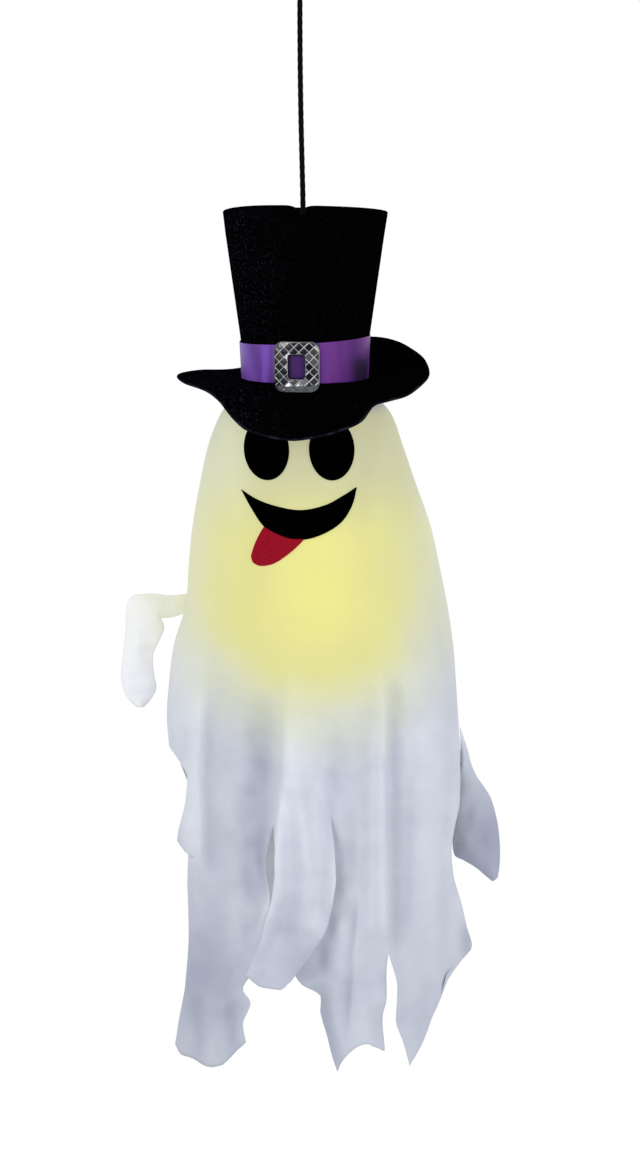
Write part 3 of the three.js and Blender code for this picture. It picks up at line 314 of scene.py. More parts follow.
# The cloth's glow is painted light: a colour and an emission on the cloth that fade with the distance from
# the lamp
class GlowSettings(bpy.types.PropertyGroup):
    centre: place_of("Centre", (0.017, 0.0, -0.640), "Middle of the lit area")
    reach: length_of("Reach", 0.185, "Distance at which the light has faded")
    share: share_of("Own light", 0.6, "Share of the lit cloth's brightness that is its own")
    core_colour: colour_of("Core colour", (241, 237, 146), "Colour over the lamp")
    rim_colour: colour_of("Rim colour", (230, 227, 152), "Colour round the lamp")
    edge_colour: colour_of("Edge colour", (223, 226, 190), "Colour where the light fades")
    # The upper colour is the glow greyed by the brim's painted shade
    upper_colour: colour_of("Upper colour", (210, 210, 170), "Colour of the lit forehead")


class FaceSettings(bpy.types.PropertyGroup):
    felt: length_of("Felt", 0.0014, "Thickness of the face's felt")
    eye_width: length_of("Eye width", 0.0445, "Width of an eye")
    eye_height: length_of("Eye height", 0.060, "Height of an eye")
    felt_colour: colour_of("Felt colour", (2, 2, 3), "Colour of the eyes and the mouth")
    tongue_colour: colour_of("Tongue colour", (166, 24, 43), "Colour of the tongue")


class LampSettings(bpy.types.PropertyGroup):
    globe_radius: length_of("Globe radius", 0.052, "Radius of the frosted globe")
    globe_colour: colour_of("Globe colour", (255, 240, 170), "Colour of the lit globe")
    strength: FloatProperty(
        name="Strength", description="Brightness of the globe", default=1.2, min=0, max=20
    )
    plastic_colour: colour_of("Plastic colour", (226, 225, 218), "Colour of the battery case")
    wire_colour: colour_of("Wire colour", (214, 215, 219), "Colour of the wire frame")


class StageSettings(bpy.types.PropertyGroup):
    floor: FloatProperty(name="Floor", description="Height of the floor", default=-1.45, unit="LENGTH")
    distance: length_of("Camera distance", 14.0, "Distance of the camera from the middle of the view")
    elevation: FloatProperty(
        name="Elevation", description="Angle of the camera above the ghost",
        default=math.radians(5.9), subtype="ANGLE",
    )
    aim: place_of("Aim", (0.020, 0.0, -0.636), "Point in the middle of the view")
    height: length_of("View height", 1.161, "Height of what the camera sees")
    sky: FloatProperty(name="Sky", description="Level of the light from all round", default=0.74, min=0)
    key_power: FloatProperty(name="Key light", description="Watts", default=19, min=0)
    fill_power: FloatProperty(name="Fill light", description="Watts", default=13, min=0)
    rim_power: FloatProperty(name="Rim light", description="Watts", default=10, min=0)


class GhostSettings(bpy.types.PropertyGroup):
    cord: PointerProperty(type=CordSettings, name="Cord", description="The hanging cord")
    hat: PointerProperty(type=HatSettings, name="Hat", description="The top hat")
    cloth: PointerProperty(type=ClothSettings, name="Cloth", description="The ghost's gauze")
    glow: PointerProperty(type=GlowSettings, name="Glow", description="The lit area of the cloth")
    face: PointerProperty(type=FaceSettings, name="Face", description="The felt face")
    lamp: PointerProperty(type=LampSettings, name="Lamp", description="The lamp and the frame")
    stage: PointerProperty(type=StageSettings, name="Stage", description="Camera, lights and floor")


# Shapes

def mix(a, b, share):
    """The value at a share of the way from a to b."""
    return a + (b - a) * share


def smooth_step(share):
    """Three times the square less twice the cube of a share held between 0 and 1."""
    share = np.clip(share, 0, 1)
    return share * share * (3 - 2 * share)


def bell(away, width):
    """A bell curve: e to the power of minus the square of the distance over the width."""
    return np.exp(-((away / width) ** 2))


def full_turn(count):
    """Angles an even step apart that go once round."""
    return np.linspace(0, 2 * np.pi, count, endpoint=False)


def smooth_table(table, at):
    """Values between a table's rows, read by its first column: a cubic between each two rows, whose slope at
    a row is that of the line between the rows on each side of it."""
    table = np.asarray(table, float)
    place, value = table[:, 0], table[:, 1:]
    slope = np.gradient(value, place, axis=0)
    slope[1:-1] = (value[2:] - value[:-2]) / (place[2:] - place[:-2])[:, None]
    at = np.clip(np.asarray(at, float), place[0], place[-1])
    k = np.clip(np.searchsorted(place, at, side="right") - 1, 0, len(place) - 2)
    span = (place[k + 1] - place[k])[..., None]
    t = ((at - place[k]) / (place[k + 1] - place[k]))[..., None]
    curve = (
        (2 * t**3 - 3 * t**2 + 1) * value[k] + (t**3 - 2 * t**2 + t) * span * slope[k]
        + (3 * t**2 - 2 * t**3) * value[k + 1] + (t**3 - t**2) * span * slope[k + 1]
    )
    return np.moveaxis(curve, -1, 0)


def run_of(points):
    """Distance run along straight lines through the points, at each of them."""
    return np.concatenate([[0], np.cumsum(np.linalg.norm(np.diff(points, axis=0), axis=1))])


def on_lines(points, run, at):
    """Points at distances run along straight lines between the given ones."""
    return np.stack([np.interp(at, run, column) for column in points.T], axis=1)


def evenly(points, count):
    """Points an even distance apart along straight lines between the given ones."""
    points = np.asarray(points, float)
    run = run_of(points)
    return on_lines(points, run, np.linspace(0, run[-1], count))


def rounded(points, count, roundness=1.0):
    """Evenly spaced points on a smooth curve through the given ones: the smooth table over the distance run,
    mixed with the straight lines by the roundness."""
    points = np.asarray(points, float)
    run = run_of(points)
    fine = np.linspace(0, run[-1], 40 * len(points))
    curved = smooth_table(np.column_stack([run, points]), fine).T
    return evenly(mix(on_lines(points, run, fine), curved, roundness), count)


def numbered(grid):
    """The number of each point of a grid, row by row."""
    return np.arange(grid.shape[0] * grid.shape[1]).reshape(grid.shape[:2])


def cells(index, wrap_down=False, wrap_across=False):
    """The four corner numbers of each cell of a grid of point numbers."""
    if wrap_down:
        index = np.vstack([index, index[:1]])
    if wrap_across:
        index = np.hstack([index, index[:, :1]])
    return np.stack([index[:-1, :-1], index[1:, :-1], index[1:, 1:], index[:-1, 1:]], axis=-1).reshape(-1, 4)


def unit(vectors):
    """Vectors of length 1 in the same directions."""
    return vectors / np.maximum(np.linalg.norm(vectors, axis=-1, keepdims=True), 1e-9)


def shell_of(middle, thickness, steps=4):
    """A closed wall round a surface that closes on itself across: the surface moved half its thickness each
    way along its normals, the cross product of its steps down and across, with a half circle of so many rows
    round its first and last row."""
    half = thickness / 2
    down = np.gradient(middle, axis=0)
    across = np.roll(middle, -1, 1) - np.roll(middle, 1, 1)
    normal = unit(np.cross(down, across))
    turn = np.linspace(0, np.pi, steps + 2)[1:-1, None, None]

    def end(row, beside, turn):
        out = unit(middle[row] - middle[beside])
        return middle[row] + half * (np.cos(turn) * normal[row] + np.sin(turn) * out)

    return np.concatenate([
        middle + half * normal,
        end(-1, -2, turn),
        (middle - half * normal)[::-1],
        end(0, 1, turn[::-1]),
    ])


def tube_of(path, reference, radius, sides, relief=None, wrap=False):
    """A round tube: at each point of the path a circle in the plane of two directions square to it, the first
    square to the reference too. relief(turn, run) scales the radius by the turn and the distance run."""
    step = np.roll(path, -1, 0) - np.roll(path, 1, 0) if wrap else np.gradient(path, axis=0)
    along = unit(step)
    side = unit(np.cross(along, reference))
    up = np.cross(side, along)
    turn = full_turn(sides)[None, :]
    reach = radius * (relief(turn, run_of(path)[:, None]) if relief else np.ones((len(path), sides)))
    return path[:, None] + reach[..., None] * (
        np.cos(turn)[..., None] * side[:, None] + np.sin(turn)[..., None] * up[:, None]
    )


def capped(grid):
    """A grid that closes across, with its first and last rows drawn in to their middle points."""
    first = np.broadcast_to(grid[0].mean(0), grid[0].shape)
    last = np.broadcast_to(grid[-1].mean(0), grid[-1].shape)
    return np.concatenate([first[None], grid, last[None]])


def round_axis(axis_x, radius, turn, z):
    """Points at a radius, a compass angle and a height round a vertical axis."""
    place = np.broadcast_arrays(axis_x + radius * np.cos(turn), radius * np.sin(turn), z)
    return np.stack(place, axis=-1)


def turned(profile, axis_x, segments):
    """A profile of (radius, height) carried round a vertical axis."""
    radius, z = np.asarray(profile, float).T[..., None]
    return round_axis(axis_x, radius, full_turn(segments)[None, :], z)


def crumples(x, z, seed, height, longest=60.0, shortest=14.0, waves=12):
    """A sum of sine waves over a surface in seeded directions: the shorter a wave, the lower it is."""
    rng = np.random.default_rng(seed)
    wave = np.geomspace(longest, shortest, waves)
    total = np.zeros_like(x)
    for size, turn, phase in zip(wave, rng.uniform(0, np.pi, waves), rng.uniform(0, 2 * np.pi, waves)):
        along = x * np.cos(turn) + z * np.sin(turn)
        total += size / longest * np.sin(2 * np.pi * along / size + phase)
    return height * total


def wander(count, seed, reach, step=4):
    """A wandering line: seeded random numbers every few points, joined smoothly, with finer ones on top."""
    rng = np.random.default_rng(seed)
    coarse = rng.uniform(-1, 1, count // step + 3)
    at = np.arange(count) / step
    smooth = smooth_table(np.column_stack([np.arange(len(coarse)), coarse]), at)[0]
    return reach * (0.85 * smooth + 0.15 * rng.uniform(-1, 1, count))


# Meshes

def make_piece(name, points, faces, material, body, uv=None, marks=None, weld=True):
    """A smooth mesh from points in millimetres and rows of corner numbers, which rides on a body of the model
    and stands for the node of its name. Where weld is set, its doubled points are merged and its faces turned
    outwards. The marks are values at its points, by name."""
    mesh = bpy.data.meshes.new(name)
    points = np.asarray(points, float).reshape(-1, 3)
    faces = np.asarray(faces)
    mesh.from_pydata((points * MM).tolist(), [], faces.tolist())
    if uv is not None:
        layer = mesh.uv_layers.new(name="UVMap")
        layer.data.foreach_set("uv", np.asarray(uv, float).reshape(-1, 2)[faces.ravel()].ravel())
    for mark, values in (marks or {}).items():
        attribute = mesh.attributes.new(mark, "FLOAT", "POINT")
        attribute.data.foreach_set("value", np.asarray(values, float).ravel())
    if weld:
        shape = bmesh.new()
        shape.from_mesh(mesh)
        bmesh.ops.remove_doubles(shape, verts=shape.verts, dist=1e-6)
        bmesh.ops.dissolve_degenerate(shape, edges=shape.edges, dist=1e-7)
        bmesh.ops.recalc_face_normals(shape, faces=shape.faces)
        shape.to_mesh(mesh)
        shape.free()
    mesh.polygons.foreach_set("use_smooth", np.ones(len(mesh.polygons), bool))
    mesh.materials.append(material)
    mesh.update()
    piece = bpy.data.objects.new(name, mesh)
    bpy.context.scene.collection.objects.link(piece)
    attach(piece, body)
    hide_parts(name)
    return piece


def make_shell(name, grid, material, body, wrap_down=True, marks=None):
    """A piece from a grid of points that closes across, with a UV map in metres down and across it."""
    down = np.cumsum(np.linalg.norm(np.diff(grid, axis=0, prepend=grid[:1]), axis=-1).mean(1))[:, None]
    girth = np.linalg.norm(np.diff(grid, axis=1), axis=-1).sum(1).max()
    across = np.linspace(0, 1, grid.shape[1])[None, :] * girth
    uv = np.stack(np.broadcast_arrays(across, down), axis=-1) * MM
    return make_piece(name, grid, cells(numbered(grid), wrap_down, True), material, body, uv, marks)


def thicken(piece, thickness):
    """Gives a sheet its wall, half on each side."""
    wall = piece.modifiers.new("Wall", "SOLIDIFY")
    wall.thickness = thickness
    wall.offset = 0
    wall.use_even_offset = False


# Materials

class Tree:
    """Adds nodes to one material or group: values and links go in by socket name or number."""

    def __init__(self, tree):
        self.tree = tree

    def fill(self, socket, value):
        """Links a socket or sets its value, where a colour gets its fourth part."""
        if isinstance(value, bpy.types.NodeSocket):
            self.tree.links.new(value, socket)
        else:
            socket.default_value = (*value, 1) if socket.type == "RGBA" else value

    def add(self, kind, values=(), **settings):
        node = self.tree.nodes.new(kind)
        for key, value in settings.items():
            setattr(node, key, value)
        for key, value in dict(values).items():
            self.fill(node.inputs[key], value)
        return node

    def math(self, operation, a, b=0.0):
        return self.add("ShaderNodeMath", {0: a, 1: b}, operation=operation).outputs[0]

    def times(self, a, b):
        return self.math("MULTIPLY", a, b)

    def plus(self, a, b):
        return self.math("ADD", a, b)

    def scaled(self, vector, factors):
        return self.add("ShaderNodeVectorMath", {0: vector, 1: factors}, operation="MULTIPLY").outputs[0]

    def parts(self, vector):
        return self.add("ShaderNodeSeparateXYZ", {0: vector}).outputs

    def ramp(self, share, *stops):
        node = self.add("ShaderNodeValToRGB", {"Fac": share})
        colours = node.color_ramp.elements
        while len(colours) < len(stops):
            colours.new(0.5)
        for element, (place, colour) in zip(colours, stops):
            element.position = place
            element.color = (*colour, 1)
        return node.outputs["Color"]

    def blend(self, share, a, b):
        return self.add("ShaderNodeMix", {0: share, 6: a, 7: b}, data_type="RGBA").outputs[2]

    def span(self, value, low, high, out_low=0.0, out_high=1.0, kind="LINEAR"):
        node = self.add("ShaderNodeMapRange", {
            "Value": value, "From Min": low, "From Max": high, "To Min": out_low, "To Max": out_high,
        }, interpolation_type=kind)
        return node.outputs["Result"]

    def ease(self, value, low, high, out_low=0.0, out_high=1.0):
        return self.span(value, low, high, out_low, out_high, "SMOOTHSTEP")

    def noise(self, vector, scale, detail=3.0, roughness=0.55):
        values = {"Vector": vector, "Scale": scale, "Detail": detail, "Roughness": roughness}
        return self.add("ShaderNodeTexNoise", values).outputs["Fac"]

    def bump(self, height, strength, distance):
        values = {"Height": height, "Strength": strength, "Distance": distance}
        return self.add("ShaderNodeBump", values).outputs["Normal"]

    def on_object(self):
        return self.add("ShaderNodeTexCoord").outputs["Object"]

    def on_map(self):
        return self.add("ShaderNodeUVMap", uv_map="UVMap").outputs["UV"]

    def mark(self, name):
        """A value that the mesh keeps at its points."""
        return self.add("ShaderNodeAttribute", attribute_name=name).outputs["Fac"]

    def seen_directly(self):
        """1 for the camera's rays and those sent on by metal and glass, 0 for rays that light the object."""
        rays = self.add("ShaderNodeLightPath").outputs
        sent_on = self.math("MAXIMUM", rays["Is Glossy Ray"], rays["Is Transmission Ray"])
        return self.math("MAXIMUM", rays["Is Camera Ray"], sent_on)

    def group(self, name, **values):
        node = self.add("ShaderNodeGroup", node_tree=bpy.data.node_groups[name])
        for key, value in values.items():
            self.fill(node.inputs[key.replace("_", " ").capitalize()], value)
        return node.outputs

    def give(self, end, **links):
        """Links the results of a group to its output node."""
        for key, socket in links.items():
            self.tree.links.new(socket, end.inputs[key])

    def put(self, **links):
        """Links the inputs of a material's shader."""
        shader = self.tree.nodes["Principled BSDF"]
        for key, socket in links.items():
            self.tree.links.new(socket, shader.inputs[key.replace("_", " ").title()])


def new_group(name, inputs, outputs):
    """An empty shader node group with the given sockets: its tree, its inputs and its output node."""
    tree = bpy.data.node_groups.new(name, "ShaderNodeTree")
    for way, sockets in (("INPUT", inputs), ("OUTPUT", outputs)):
        for socket, kind in sockets:
            tree.interface.new_socket(socket, in_out=way, socket_type="NodeSocket" + kind)
    start = tree.nodes.new("NodeGroupInput")
    end = tree.nodes.new("NodeGroupOutput")
    return Tree(tree), start.outputs, end


def fibre_group():
    """Matted fibres of felt: fine noise stretched two ways, and stray fibres where a coarser noise peaks."""
    tree, given, end = new_group(
        "matted fibres", [("Vector", "Vector"), ("Scale", "Float")], [("Height", "Float"), ("Lint", "Float")]
    )
    place, scale = given["Vector"], given["Scale"]
    fine = tree.noise(place, scale, 6.0, 0.7)
    strands = tree.noise(tree.scaled(place, (1.0, 1.0, 4.0)), tree.times(scale, 0.7), 4.0)
    coarse = tree.noise(place, tree.times(scale, 0.45), 8.0, 0.8)
    height = tree.plus(tree.times(fine, 0.6), tree.times(strands, 0.4))
    tree.give(end, Height=height, Lint=tree.span(coarse, 0.555, 0.69))


def weave_group():
    """Plain weave: rounded warp and weft threads, each over the other at every second crossing."""
    tree, given, end = new_group(
        "woven threads", [("Vector", "Vector"), ("Threads", "Float")], [("Height", "Float"), ("Gap", "Float")]
    )
    place = tree.parts(given["Vector"])
    turn = tree.times(given["Threads"], math.pi)
    warp = tree.math("SINE", tree.times(place["X"], turn))
    weft = tree.math("SINE", tree.times(place["Y"], turn))
    over = tree.times(warp, weft)
    open_share = tree.math("MINIMUM", tree.math("ABSOLUTE", warp), tree.math("ABSOLUTE", weft))
    tree.give(end, Height=tree.span(over, -1, 1), Gap=tree.span(open_share, 0.0, 0.3, 1, 0))


def wear_group():
    """Handling marks: smudges from a coarse noise and fine scratches from a noise stretched along one way."""
    tree, given, end = new_group(
        "handling marks", [("Vector", "Vector"), ("Scale", "Float"), ("Roughness", "Float")],
        [("Mask", "Float"), ("Roughness", "Float"), ("Height", "Float")],
    )
    smudge = tree.noise(given["Vector"], given["Scale"], 4.0)
    stretch = tree.scaled(given["Vector"], (12.0, 1.5, 1.0))
    scratch = tree.noise(stretch, tree.times(given["Scale"], 6.0), 5.0, 0.7)
    mask = tree.span(smudge, 0.42, 0.7)
    tree.give(end, Mask=mask, Roughness=tree.plus(given["Roughness"], tree.times(mask, 0.12)), Height=scratch)


def glow_group():
    """Painted light of the lamp through the cloth: the distance from the lamp, shortened upwards, to the left
    and in depth and made uneven by noise, gives the mask. The colour runs from the core to the rim to the
    edge, and to the upper colour, the glow greyed by the brim's painted shade, on the forehead but not on the
    left shoulder. Right under the brim there is none, as painted shadow of the brim."""
    colours = [(name, "Color") for name in ("Core", "Rim", "Edge", "Upper")]
    tree, given, end = new_group(
        "lamp glow",
        [("Vector", "Vector"), ("Centre", "Vector"), ("Reach", "Float"), *colours],
        [("Mask", "Float"), ("Colour", "Color")],
    )
    away = tree.add("ShaderNodeVectorMath", {0: given["Vector"], 1: given["Centre"]}, operation="SUBTRACT")
    part = tree.parts(away.outputs[0])

    def two_sided(axis, below, above):
        """A distance times one factor where it is negative and another where it is positive."""
        low = tree.times(tree.math("MINIMUM", part[axis], 0.0), below)
        return tree.plus(low, tree.times(tree.math("MAXIMUM", part[axis], 0.0), above))

    squares = [
        tree.math("POWER", tree.math("ABSOLUTE", value), 2.0)
        for value in (two_sided("X", 0.88, 1.0), tree.times(part["Y"], 0.2), two_sided("Z", 1.02, 0.42))
    ]
    far = tree.math("SQRT", tree.plus(tree.plus(squares[0], squares[1]), squares[2]))
    cloud = tree.math("SUBTRACT", tree.noise(given["Vector"], 14.0, 2.0), 0.5)
    share = tree.plus(tree.math("DIVIDE", far, given["Reach"]), tree.times(cloud, 0.16))
    under_brim = tree.ease(part["Z"], 0.172, 0.190, 1.0, 0.0)
    outer = tree.blend(tree.ease(share, 0.72, 0.36), given["Edge"], given["Rim"])
    lower = tree.blend(tree.ease(share, 0.42, 0.10), outer, given["Core"])
    shoulder = tree.ease(part["X"], -0.045, -0.095)
    upper = tree.blend(shoulder, given["Upper"], given["Edge"])
    tree.give(
        end,
        Mask=tree.times(tree.ease(share, 0.46, 1.02, 1.0, 0.0), under_brim),
        Colour=tree.blend(tree.ease(part["Z"], 0.045, 0.135), lower, upper),
    )


def new_material(name, colour, roughness, **values):
    """A material with plain values on its shader. Gives it and its tree."""
    material = bpy.data.materials.new(name)
    material.use_nodes = True
    tree = Tree(material.node_tree)
    shader = material.node_tree.nodes["Principled BSDF"]
    for key, value in {"Base_Color": colour, "Roughness": roughness, **values}.items():
        tree.fill(shader.inputs[key.replace("_", " ")], value)
    return material, tree


def kept(name, make, *given, **values):
    """A material made once and used again by its name."""
    return bpy.data.materials.get(name) or make(name, *given, **values)


def shaded(colour, share):
    return tuple(share * part for part in colour)


def felt_material(name, colour, lint_and_sheen_colour, lint_and_sheen_share, scale=900.0, bump=0.5):
    """Matt felt: its fibres raise the surface and darken between them. Pale lint specks lie all over it, and
    painted sheen makes them stronger on its left side. A painted highlight in the lint's colour lies where
    the mesh is marked for one."""
    material, tree = new_material(name, colour, 0.95, Specular_IOR_Level=0.0)
    place = tree.on_object()
    fibres = tree.group("matted fibres", vector=place, scale=scale)
    # Painted sheen: the lint specks stronger on the left side
    painted_sheen_on_left = tree.span(tree.parts(place)["X"], -0.01, -0.06, 0.15, 1.0)
    # Painted highlight where the mesh is marked for one
    lint_and_sheen = tree.math("MAXIMUM", tree.times(fibres["Lint"], painted_sheen_on_left), tree.times(tree.mark("wear_and_painted_highlight"), 0.3))
    plain = tree.blend(tree.span(fibres["Height"], 0.35, 0.65), shaded(colour, 0.55), colour)
    tree.put(
        base_color=tree.blend(tree.times(lint_and_sheen, lint_and_sheen_share), plain, lint_and_sheen_colour),
        normal=tree.bump(fibres["Height"], bump, 0.0008),
    )
    return material


def hat_felt(hat):
    return kept("hat felt", felt_material, tuple(hat.felt_colour), tuple(hat.lint_and_sheen_colour), 0.7)


def cord_material(name, colour):
    """Polyester braid: paler at random on its strands, with painted shade between them."""
    material, tree = new_material(name, colour, 0.8, Specular_IOR_Level=0.06)
    fibres = tree.group("matted fibres", vector=tree.on_object(), scale=1500.0)
    strand = tree.mark("strand")
    wear_and_painted_highlight = tree.blend(fibres["Height"], colour, shaded(colour, 1.6))
    # Painted shade in the grooves between the strands, where the strand mark is low
    tree.put(
        base_color=tree.blend(strand, shaded(colour, 0.4), wear_and_painted_highlight),
        roughness=tree.span(strand, 0, 1, 0.9, 0.6),
        normal=tree.bump(fibres["Height"], 0.3, 0.0003),
    )
    return material


def satin_material(name, light, dark):
    """Satin ribbon: fine warp threads, folds that run up it in a darker purple as painted shade, a redder and
    darker purple on its right as painted shade of that side, and a soft gloss."""
    material, tree = new_material(name, light, 0.42, Specular_IOR_Level=0.15)
    weave = tree.group("woven threads", vector=tree.on_map(), threads=4200.0)
    painted_shading = tree.mark("painted_shading")
    # Painted light across the satin: its left lit, its right a redder painted shade
    redder_painted_shade = tuple(part * share for part, share in zip(light, (0.70, 0.31, 0.50)))
    painted_light_across = tree.blend(tree.span(tree.parts(tree.on_object())["X"], -0.02, 0.03), light, redder_painted_shade)
    # Painted shade in the folds, near black in the deepest
    painted_fold_shade = tree.ramp(painted_shading, (0.0, paint(14, 9, 22)), (0.35, dark))
    tree.put(
        base_color=tree.blend(tree.span(painted_shading, 0.2, 0.9), painted_fold_shade, painted_light_across),
        roughness=tree.span(painted_shading, 0, 1, 0.5, 0.34),
        normal=tree.bump(weave["Height"], 0.12, 0.0002),
    )
    return material


def chrome_material(name):
    """Plated buckle: polished ridges with a painted highlight, over cells with painted reflections that are
    mostly dark and each a little different.
    """
    material, tree = new_material(name, (0.5, 0.5, 0.52), 0.2, Metallic=1.0, Specular_Tint=(0.3, 0.3, 0.32))
    marks = tree.group("handling marks", vector=tree.on_object(), scale=160.0, roughness=0.16)
    # Painted reflections: each cell a tone of its own, mostly dark and a few pale
    cell = tree.ramp(
        tree.mark("painted_facet_reflection"), (0.0, paint(20, 21, 24)), (0.4, paint(38, 41, 44)), (0.68, paint(66, 54, 54)),
        (0.84, paint(84, 88, 90)), (0.94, paint(216, 217, 219)),
    )
    # Painted highlight on the ridges and rims
    tree.put(
        base_color=tree.blend(tree.mark("ridge_and_painted_highlight"), cell, paint(196, 197, 200)),
        roughness=marks["Roughness"],
        normal=tree.bump(marks["Height"], 0.05, 0.0002),
    )
    return material


def cloth_material(name, light, shade, cloth, glow):
    """Gauze with painted light from the lamp inside: painted highlight on the folds and bluer painted shade
    between them, with the lamp's colour painted over it. Part of the painted light is the cloth's own glow,
    though it is no lamp, and that part is taken from its base colour."""
    material, tree = new_material(
        name, light, 0.85, Specular_IOR_Level=0.15, Sheen_Weight=0.1, Emission_Strength=1.0
    )
    weave = tree.group("woven threads", vector=tree.on_map(), threads=cloth.threads)
    place = tree.on_object()
    cloud = tree.times(tree.math("SUBTRACT", tree.noise(place, 26.0), 0.5), 0.35)
    # Painted shade between the folds and painted highlight on them, from the mesh's mark, with random
    # mottling
    painted_shading_and_mottle = tree.plus(tree.mark("painted_shading"), cloud)
    plain = tree.blend(tree.times(weave["Gap"], 0.10), tree.blend(painted_shading_and_mottle, shade, light), shade)
    lit = tree.group(
        "lamp glow", vector=place, centre=glow.centre, reach=glow.reach, core=glow.core_colour,
        rim=glow.rim_colour, edge=glow.edge_colour, upper=glow.upper_colour,
    )
    # Painted shade: the glow greyer between the folds
    glow_with_painted_fold_shade = tree.blend(0.14, lit["Colour"], paint(150, 150, 120))
    warm = tree.blend(tree.span(painted_shading_and_mottle, 0.3, 0.75), glow_with_painted_fold_shade, lit["Colour"])
    colour = tree.blend(lit["Mask"], plain, warm)
    # Painted light: the cloth glows though it is no lamp, with the mask's share of its colour as emission
    own = tree.times(lit["Mask"], glow.share)
    black = (0, 0, 0)
    tree.put(
        base_color=tree.blend(own, colour, black),
        emission_color=tree.blend(own, black, colour),
        normal=tree.bump(weave["Height"], 0.15, 0.0003),
    )
    return material


def gauze(ghost):
    cloth = ghost.cloth
    light, shade = tuple(cloth.light_colour), tuple(cloth.shade_colour)
    return kept("gauze cloth", cloth_material, light, shade, cloth, ghost.glow)


def plain_material(name, colour, roughness, **values):
    """Moulded, drawn or plated stock: smudged a little darker, with fine scratches."""
    material, tree = new_material(name, colour, roughness, **values)
    marks = tree.group("handling marks", vector=tree.on_object(), scale=220.0, roughness=roughness)
    tree.put(
        base_color=tree.blend(tree.times(marks["Mask"], 0.3), colour, shaded(colour, 0.75)),
        roughness=marks["Roughness"],
        normal=tree.bump(marks["Height"], 0.04, 0.0004),
    )
    return material


def globe_material(name, colour, strength):
    """Frosted and lit: its own light is a little uneven, as through a sanded wall."""
    material, tree = new_material(name, colour, 0.6, Emission_Strength=strength)
    place = tree.on_object()
    lit = tree.blend(tree.span(tree.noise(place, 30.0), 0.3, 0.7), shaded(colour, 0.8), colour)
    tree.put(
        base_color=lit, emission_color=lit, normal=tree.bump(tree.noise(place, 2400.0, 2.0), 0.2, 0.0002),
    )
    return material


# The body's cloth

def body_at(drop):
    """Middle, half width and depth of the smooth body at a drop. Below the skirt's top they stay the same."""
    left, right, depth = smooth_table(BODY, drop)
    return SPIN_X + (right - left) / 2, (left + right) / 2, depth


def oval_share(x, drop, least=0.0004):
    """Share of the body's depth that its oval has at a place across: the root of 1 less the square of the
    distance from the middle over the half width, where that is held above the least value."""
    middle, half, _ = body_at(drop)
    return np.sqrt(np.maximum(least, 1 - ((x - middle) / half) ** 2))


def even_fold(x, drop, depth):
    """Even folds that start under the lamp: a cosine across, deeper by the square of the way down."""
    first_drop, over, pitch, phase = 200, 200, 58, 0.6
    strength = np.clip((drop - first_drop) / over, 0, 1)
    return depth * strength**2 * np.cos(2 * np.pi * x / pitch + phase)


def fold_sum(folds, x, drop, column):
    """Height (column 0) or painted shade and highlight (column 1) of all folds: for each, a bell of the
    distance from its line, wider or narrower on each side, faded in and out over its first and last 35 mm."""
    fade = 35
    total = np.zeros_like(x)
    for line, height, left, right, painted_shading in folds:
        line = np.asarray(line, float)
        away = x - np.interp(drop, line[:, 1], line[:, 0])
        window = smooth_step((drop - line[0, 1]) / fade) * smooth_step((line[-1, 1] - drop) / fade)
        total += (height, painted_shading)[column] * bell(away, np.where(away < 0, left, right)) * window
    return total


def painted_shading_sum(patches, x, drop):
    """Painted light and shade added by all patches: for each, a bell of the distance across times one of the
    distance down.
    """
    total = np.zeros_like(x)
    for across, below, reach, height, painted_shading in patches:
        total += painted_shading * bell(x - across, reach) * bell(drop - below, height)
    return total


def front_depth(x, drop, fold_depth):
    """How far the cloth's front stands before the middle plane: the body's oval, with its folds."""
    depth = body_at(drop)[2] + even_fold(x, drop, fold_depth) + fold_sum(FRONT_FOLDS, x, drop, 0)
    return oval_share(x, drop) * depth


def yoke_of(folds, fold_depth):
    """The cloth above the skirt: half an oval at every height, from the hole round the cord out over the hub
    and down to the skirt, with its folds. Gives it, and its lowest row with the even folds only."""
    head = evenly(HEAD, 16)
    drops = np.linspace(BODY[0][0], SKIRT_DROP, YOKE_ROWS)
    body = np.column_stack([CROWN_LOW - drops, *body_at(drops)])
    neck = evenly([head[-1], body[0]], 8)[1:-1]
    z, middle, half, depth = np.concatenate([head, neck, body]).T[..., None]
    steps = COLUMNS * COLUMN_CELLS
    turn = np.pi * (1 - np.arange(steps + 1) / steps)[None, :]
    x = middle + half * np.cos(turn)
    drop = CROWN_LOW - z + 0 * turn
    even = even_fold(x, drop, fold_depth)

    def at_depth(depth):
        return np.stack([x, np.maximum(depth * np.sin(turn), SEAM_GAP), z + 0 * turn], axis=-1)

    return at_depth(depth + (even + fold_sum(folds, x, drop, 0))), at_depth(depth + even)[-1]


def on_skirt(points, fold_depth):
    """Points from places across, drops and how far forward: the oval's depth, the even fold and the way
    forward added up."""
    across, below, forward = np.asarray(points, float).T
    y = body_at(below)[2] * oval_share(across, below) + even_fold(across, below, fold_depth) + forward
    return np.column_stack([across, np.maximum(y, SEAM_GAP), CROWN_LOW - below])


def torn_edge(corner, slit, slit_rows, lower, seed, settings):
    """A strip's side from the skirt's top to its hem: a smooth curve down the slit, then a straighter one
    that wanders."""
    fold_depth = settings.fold_depth / MM
    upper = rounded([corner, *on_skirt(slit, fold_depth)], slit_rows + 1) if slit_rows else corner[None]
    lower = rounded([upper[-1], *on_skirt(lower, fold_depth)], STRIP_ROWS + 1 - slit_rows, 0.7)
    fade = np.minimum(1, np.arange(len(lower)) / 10)
    lower[:, 0] += wander(len(lower), seed, 0.5 * settings.fray / MM) * fade
    return np.concatenate([upper[:-1], lower])


